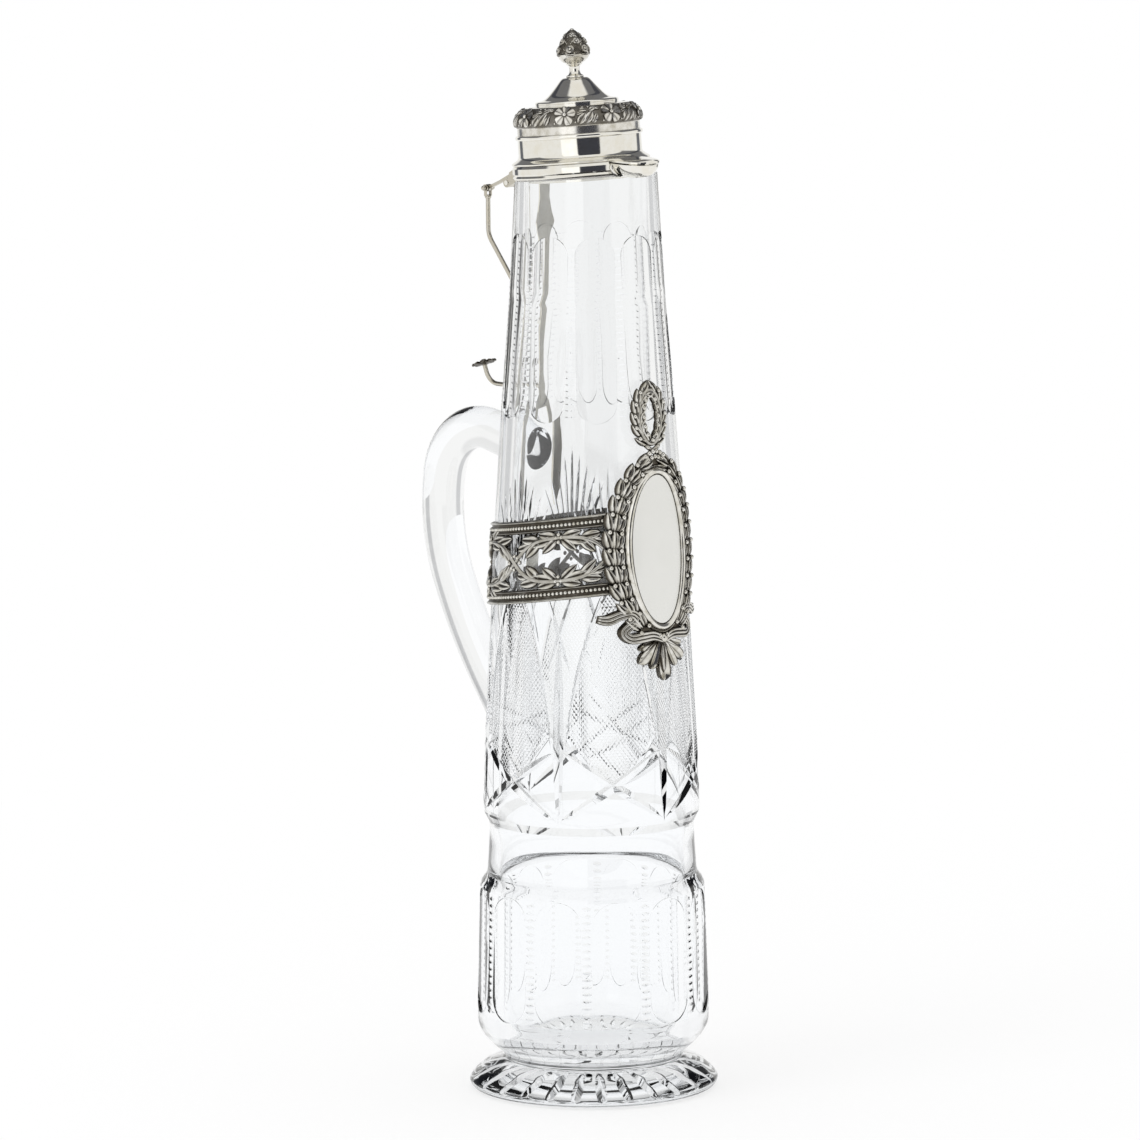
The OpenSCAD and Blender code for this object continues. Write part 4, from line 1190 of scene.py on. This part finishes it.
def thumb_rod():
    """Bent rod with a small fork at the lever's eye and a flower-shaped thumbpiece."""
    link_y, link_z, top = 58.2, 353.4, 350.0
    line = bent_line([(13.1, 8, 40), (21.86, 14, -40), (23.6, 7.5, -90), (7.3, 7, -69), (3.0, 1, 0)],
                     link_y, top + 0.6, -90, 1.5)
    bm = bmesh.new()
    bent_bar(bm, line, 0.9, 16)
    across = Matrix.Rotation(math.pi / 2, 4, "Y")
    for side in (-1, 1):
        cheek = Vector((side * 1.28, link_y, link_z))
        bmesh.ops.create_cone(bm, cap_ends=True, segments=24, radius1=1.45, radius2=1.3, depth=0.64,
                              matrix=Matrix.Translation(cheek) @ across)
        bmesh.ops.create_cube(bm, size=1, matrix=Matrix.Translation(cheek - Vector((0, 0, 1.7)))
                              @ Matrix.Diagonal((0.6, 1.2, 3.0, 1)))
    knob = [(0, 0.7), (0.9, 0.6), (1.25, 0.2), (1.3, -0.3), (1.1, -0.8), (0, -0.9)]
    neck = bmesh.new()
    spun(neck, knob, 24)
    bmesh.ops.translate(neck, verts=neck.verts, vec=(0, link_y, top))
    mesh = bpy.data.meshes.new("knob")
    neck.to_mesh(mesh)
    neck.free()
    bm.from_mesh(mesh)
    finish_piece("bent_thumb_rod", bm, WORN, "thumb_rod", "silver", "pull_rod", sharp=40.0)

    y, z, heading = line[-1]
    tip = Matrix.Translation((0, y, z)) @ Matrix.Rotation(math.radians(heading - 90), 4, "X")
    bm = bmesh.new()
    spun(bm, [(0, 0.05), (3.0, 0.05), (3.6, 0.5), (3.0, 0.95), (1.6, 1.1), (0, 1.15)], 32)
    # The disc under the petals is darkened, as tarnish and as painted shade.
    set_polish_and_shade(bm, lambda co: 0.3)
    bmesh.ops.transform(bm, matrix=tip, verts=bm.verts)
    for k in range(8):
        a = math.radians(45 * k)
        leaf(bm, lambda x, y, lift: tip @ Vector((x, y, lift)), 1.2 * math.sin(a), 1.2 * math.cos(a), 45 * k,
             3.8, 3.0, 1.0, low=0.15, petal=True)
    finish_piece("thumb_flower", bm, AGED_AND_SHADED, "thumb_rod", "dark_silver", "thumbpiece", sharp=50.0)


# ---------------------------------------------------------------- build

bpy.context.scene.view_settings.view_transform = "Standard"
make_camera()
make_world()
make_floor()
make_lamp()
GLASS = cut_glass()
BRIGHT = silver("bright_silver", 0.25, 0.07)
WORN = silver("worn_silver", 0.9, 0.22, dents=0.3, base=(0.58, 0.55, 0.48, 1))
STRAP = silver("strap_silver", 0.5, 0.24, dents=0.3, base=(0.85, 0.82, 0.73, 1))
# The three relief silvers darken their low parts as tarnish and as painted shade.
MOULDED = silver("moulded_silver", 0.9, 0.08, relief=True)
AGED_AND_SHADED = silver("aged_and_shaded_silver", 1.0, 0.12, dents=0.6, base=(0.80, 0.785, 0.735, 1), relief=True)
CHASED_SILVER = silver("chased_silver", 0.92, 0.17, dents=0.5, base=(0.84, 0.82, 0.77, 1), relief=True)
SATIN = satin_silver()
PLASTER = matt("plaster", (0.90, 0.89, 0.86, 1), (0.82, 0.80, 0.77, 1))
BRASS = matt("brass", (0.80, 0.66, 0.36, 1), (0.66, 0.52, 0.26, 1), metal=1.0, rough=0.3)

SLOT_FINISH = {"cut_glass": GLASS, "silver": BRIGHT, "satin_silver": SATIN, "dark_silver": AGED_AND_SHADED,
               "plaster": PLASTER, "brass_nut": BRASS}
for row in frame["record"]["subparts"]:
    node = NODES[row["node"]]
    finish = SLOT_FINISH[row["material_slot"]]
    if row["node"] in ("hinge_bracket", "link_pin", "thumb_rivet"):
        finish = WORN
    elif row["node"] in ("back_strap", "band_lap"):
        finish = STRAP
    for place in node.material_slots:
        place.material = finish

LEAF, SMALL_LEAF, BROAD_LEAF, RIBBON, PEARL = slab(6, 7), slab(4, 4), slab(8, 12), slab(12, 48), pearl_mesh()
glass_body()
band_rim("pearl_rim_upper", 1, "band_upper_rim")
band_rim("pearl_rim_lower", -1, "band_lower_rim")
laurel_sprigs()
plaque_mouldings()
laurel_frame()
open_wreath()
berries()
bow()
chased_band()
flower_bud()
lid_pieces()
pouring_lip()
lid_tongue()
hinge_arm()
thumb_rod()
for mesh in [m for m in bpy.data.meshes if m.users == 0]:
    bpy.data.meshes.remove(mesh)
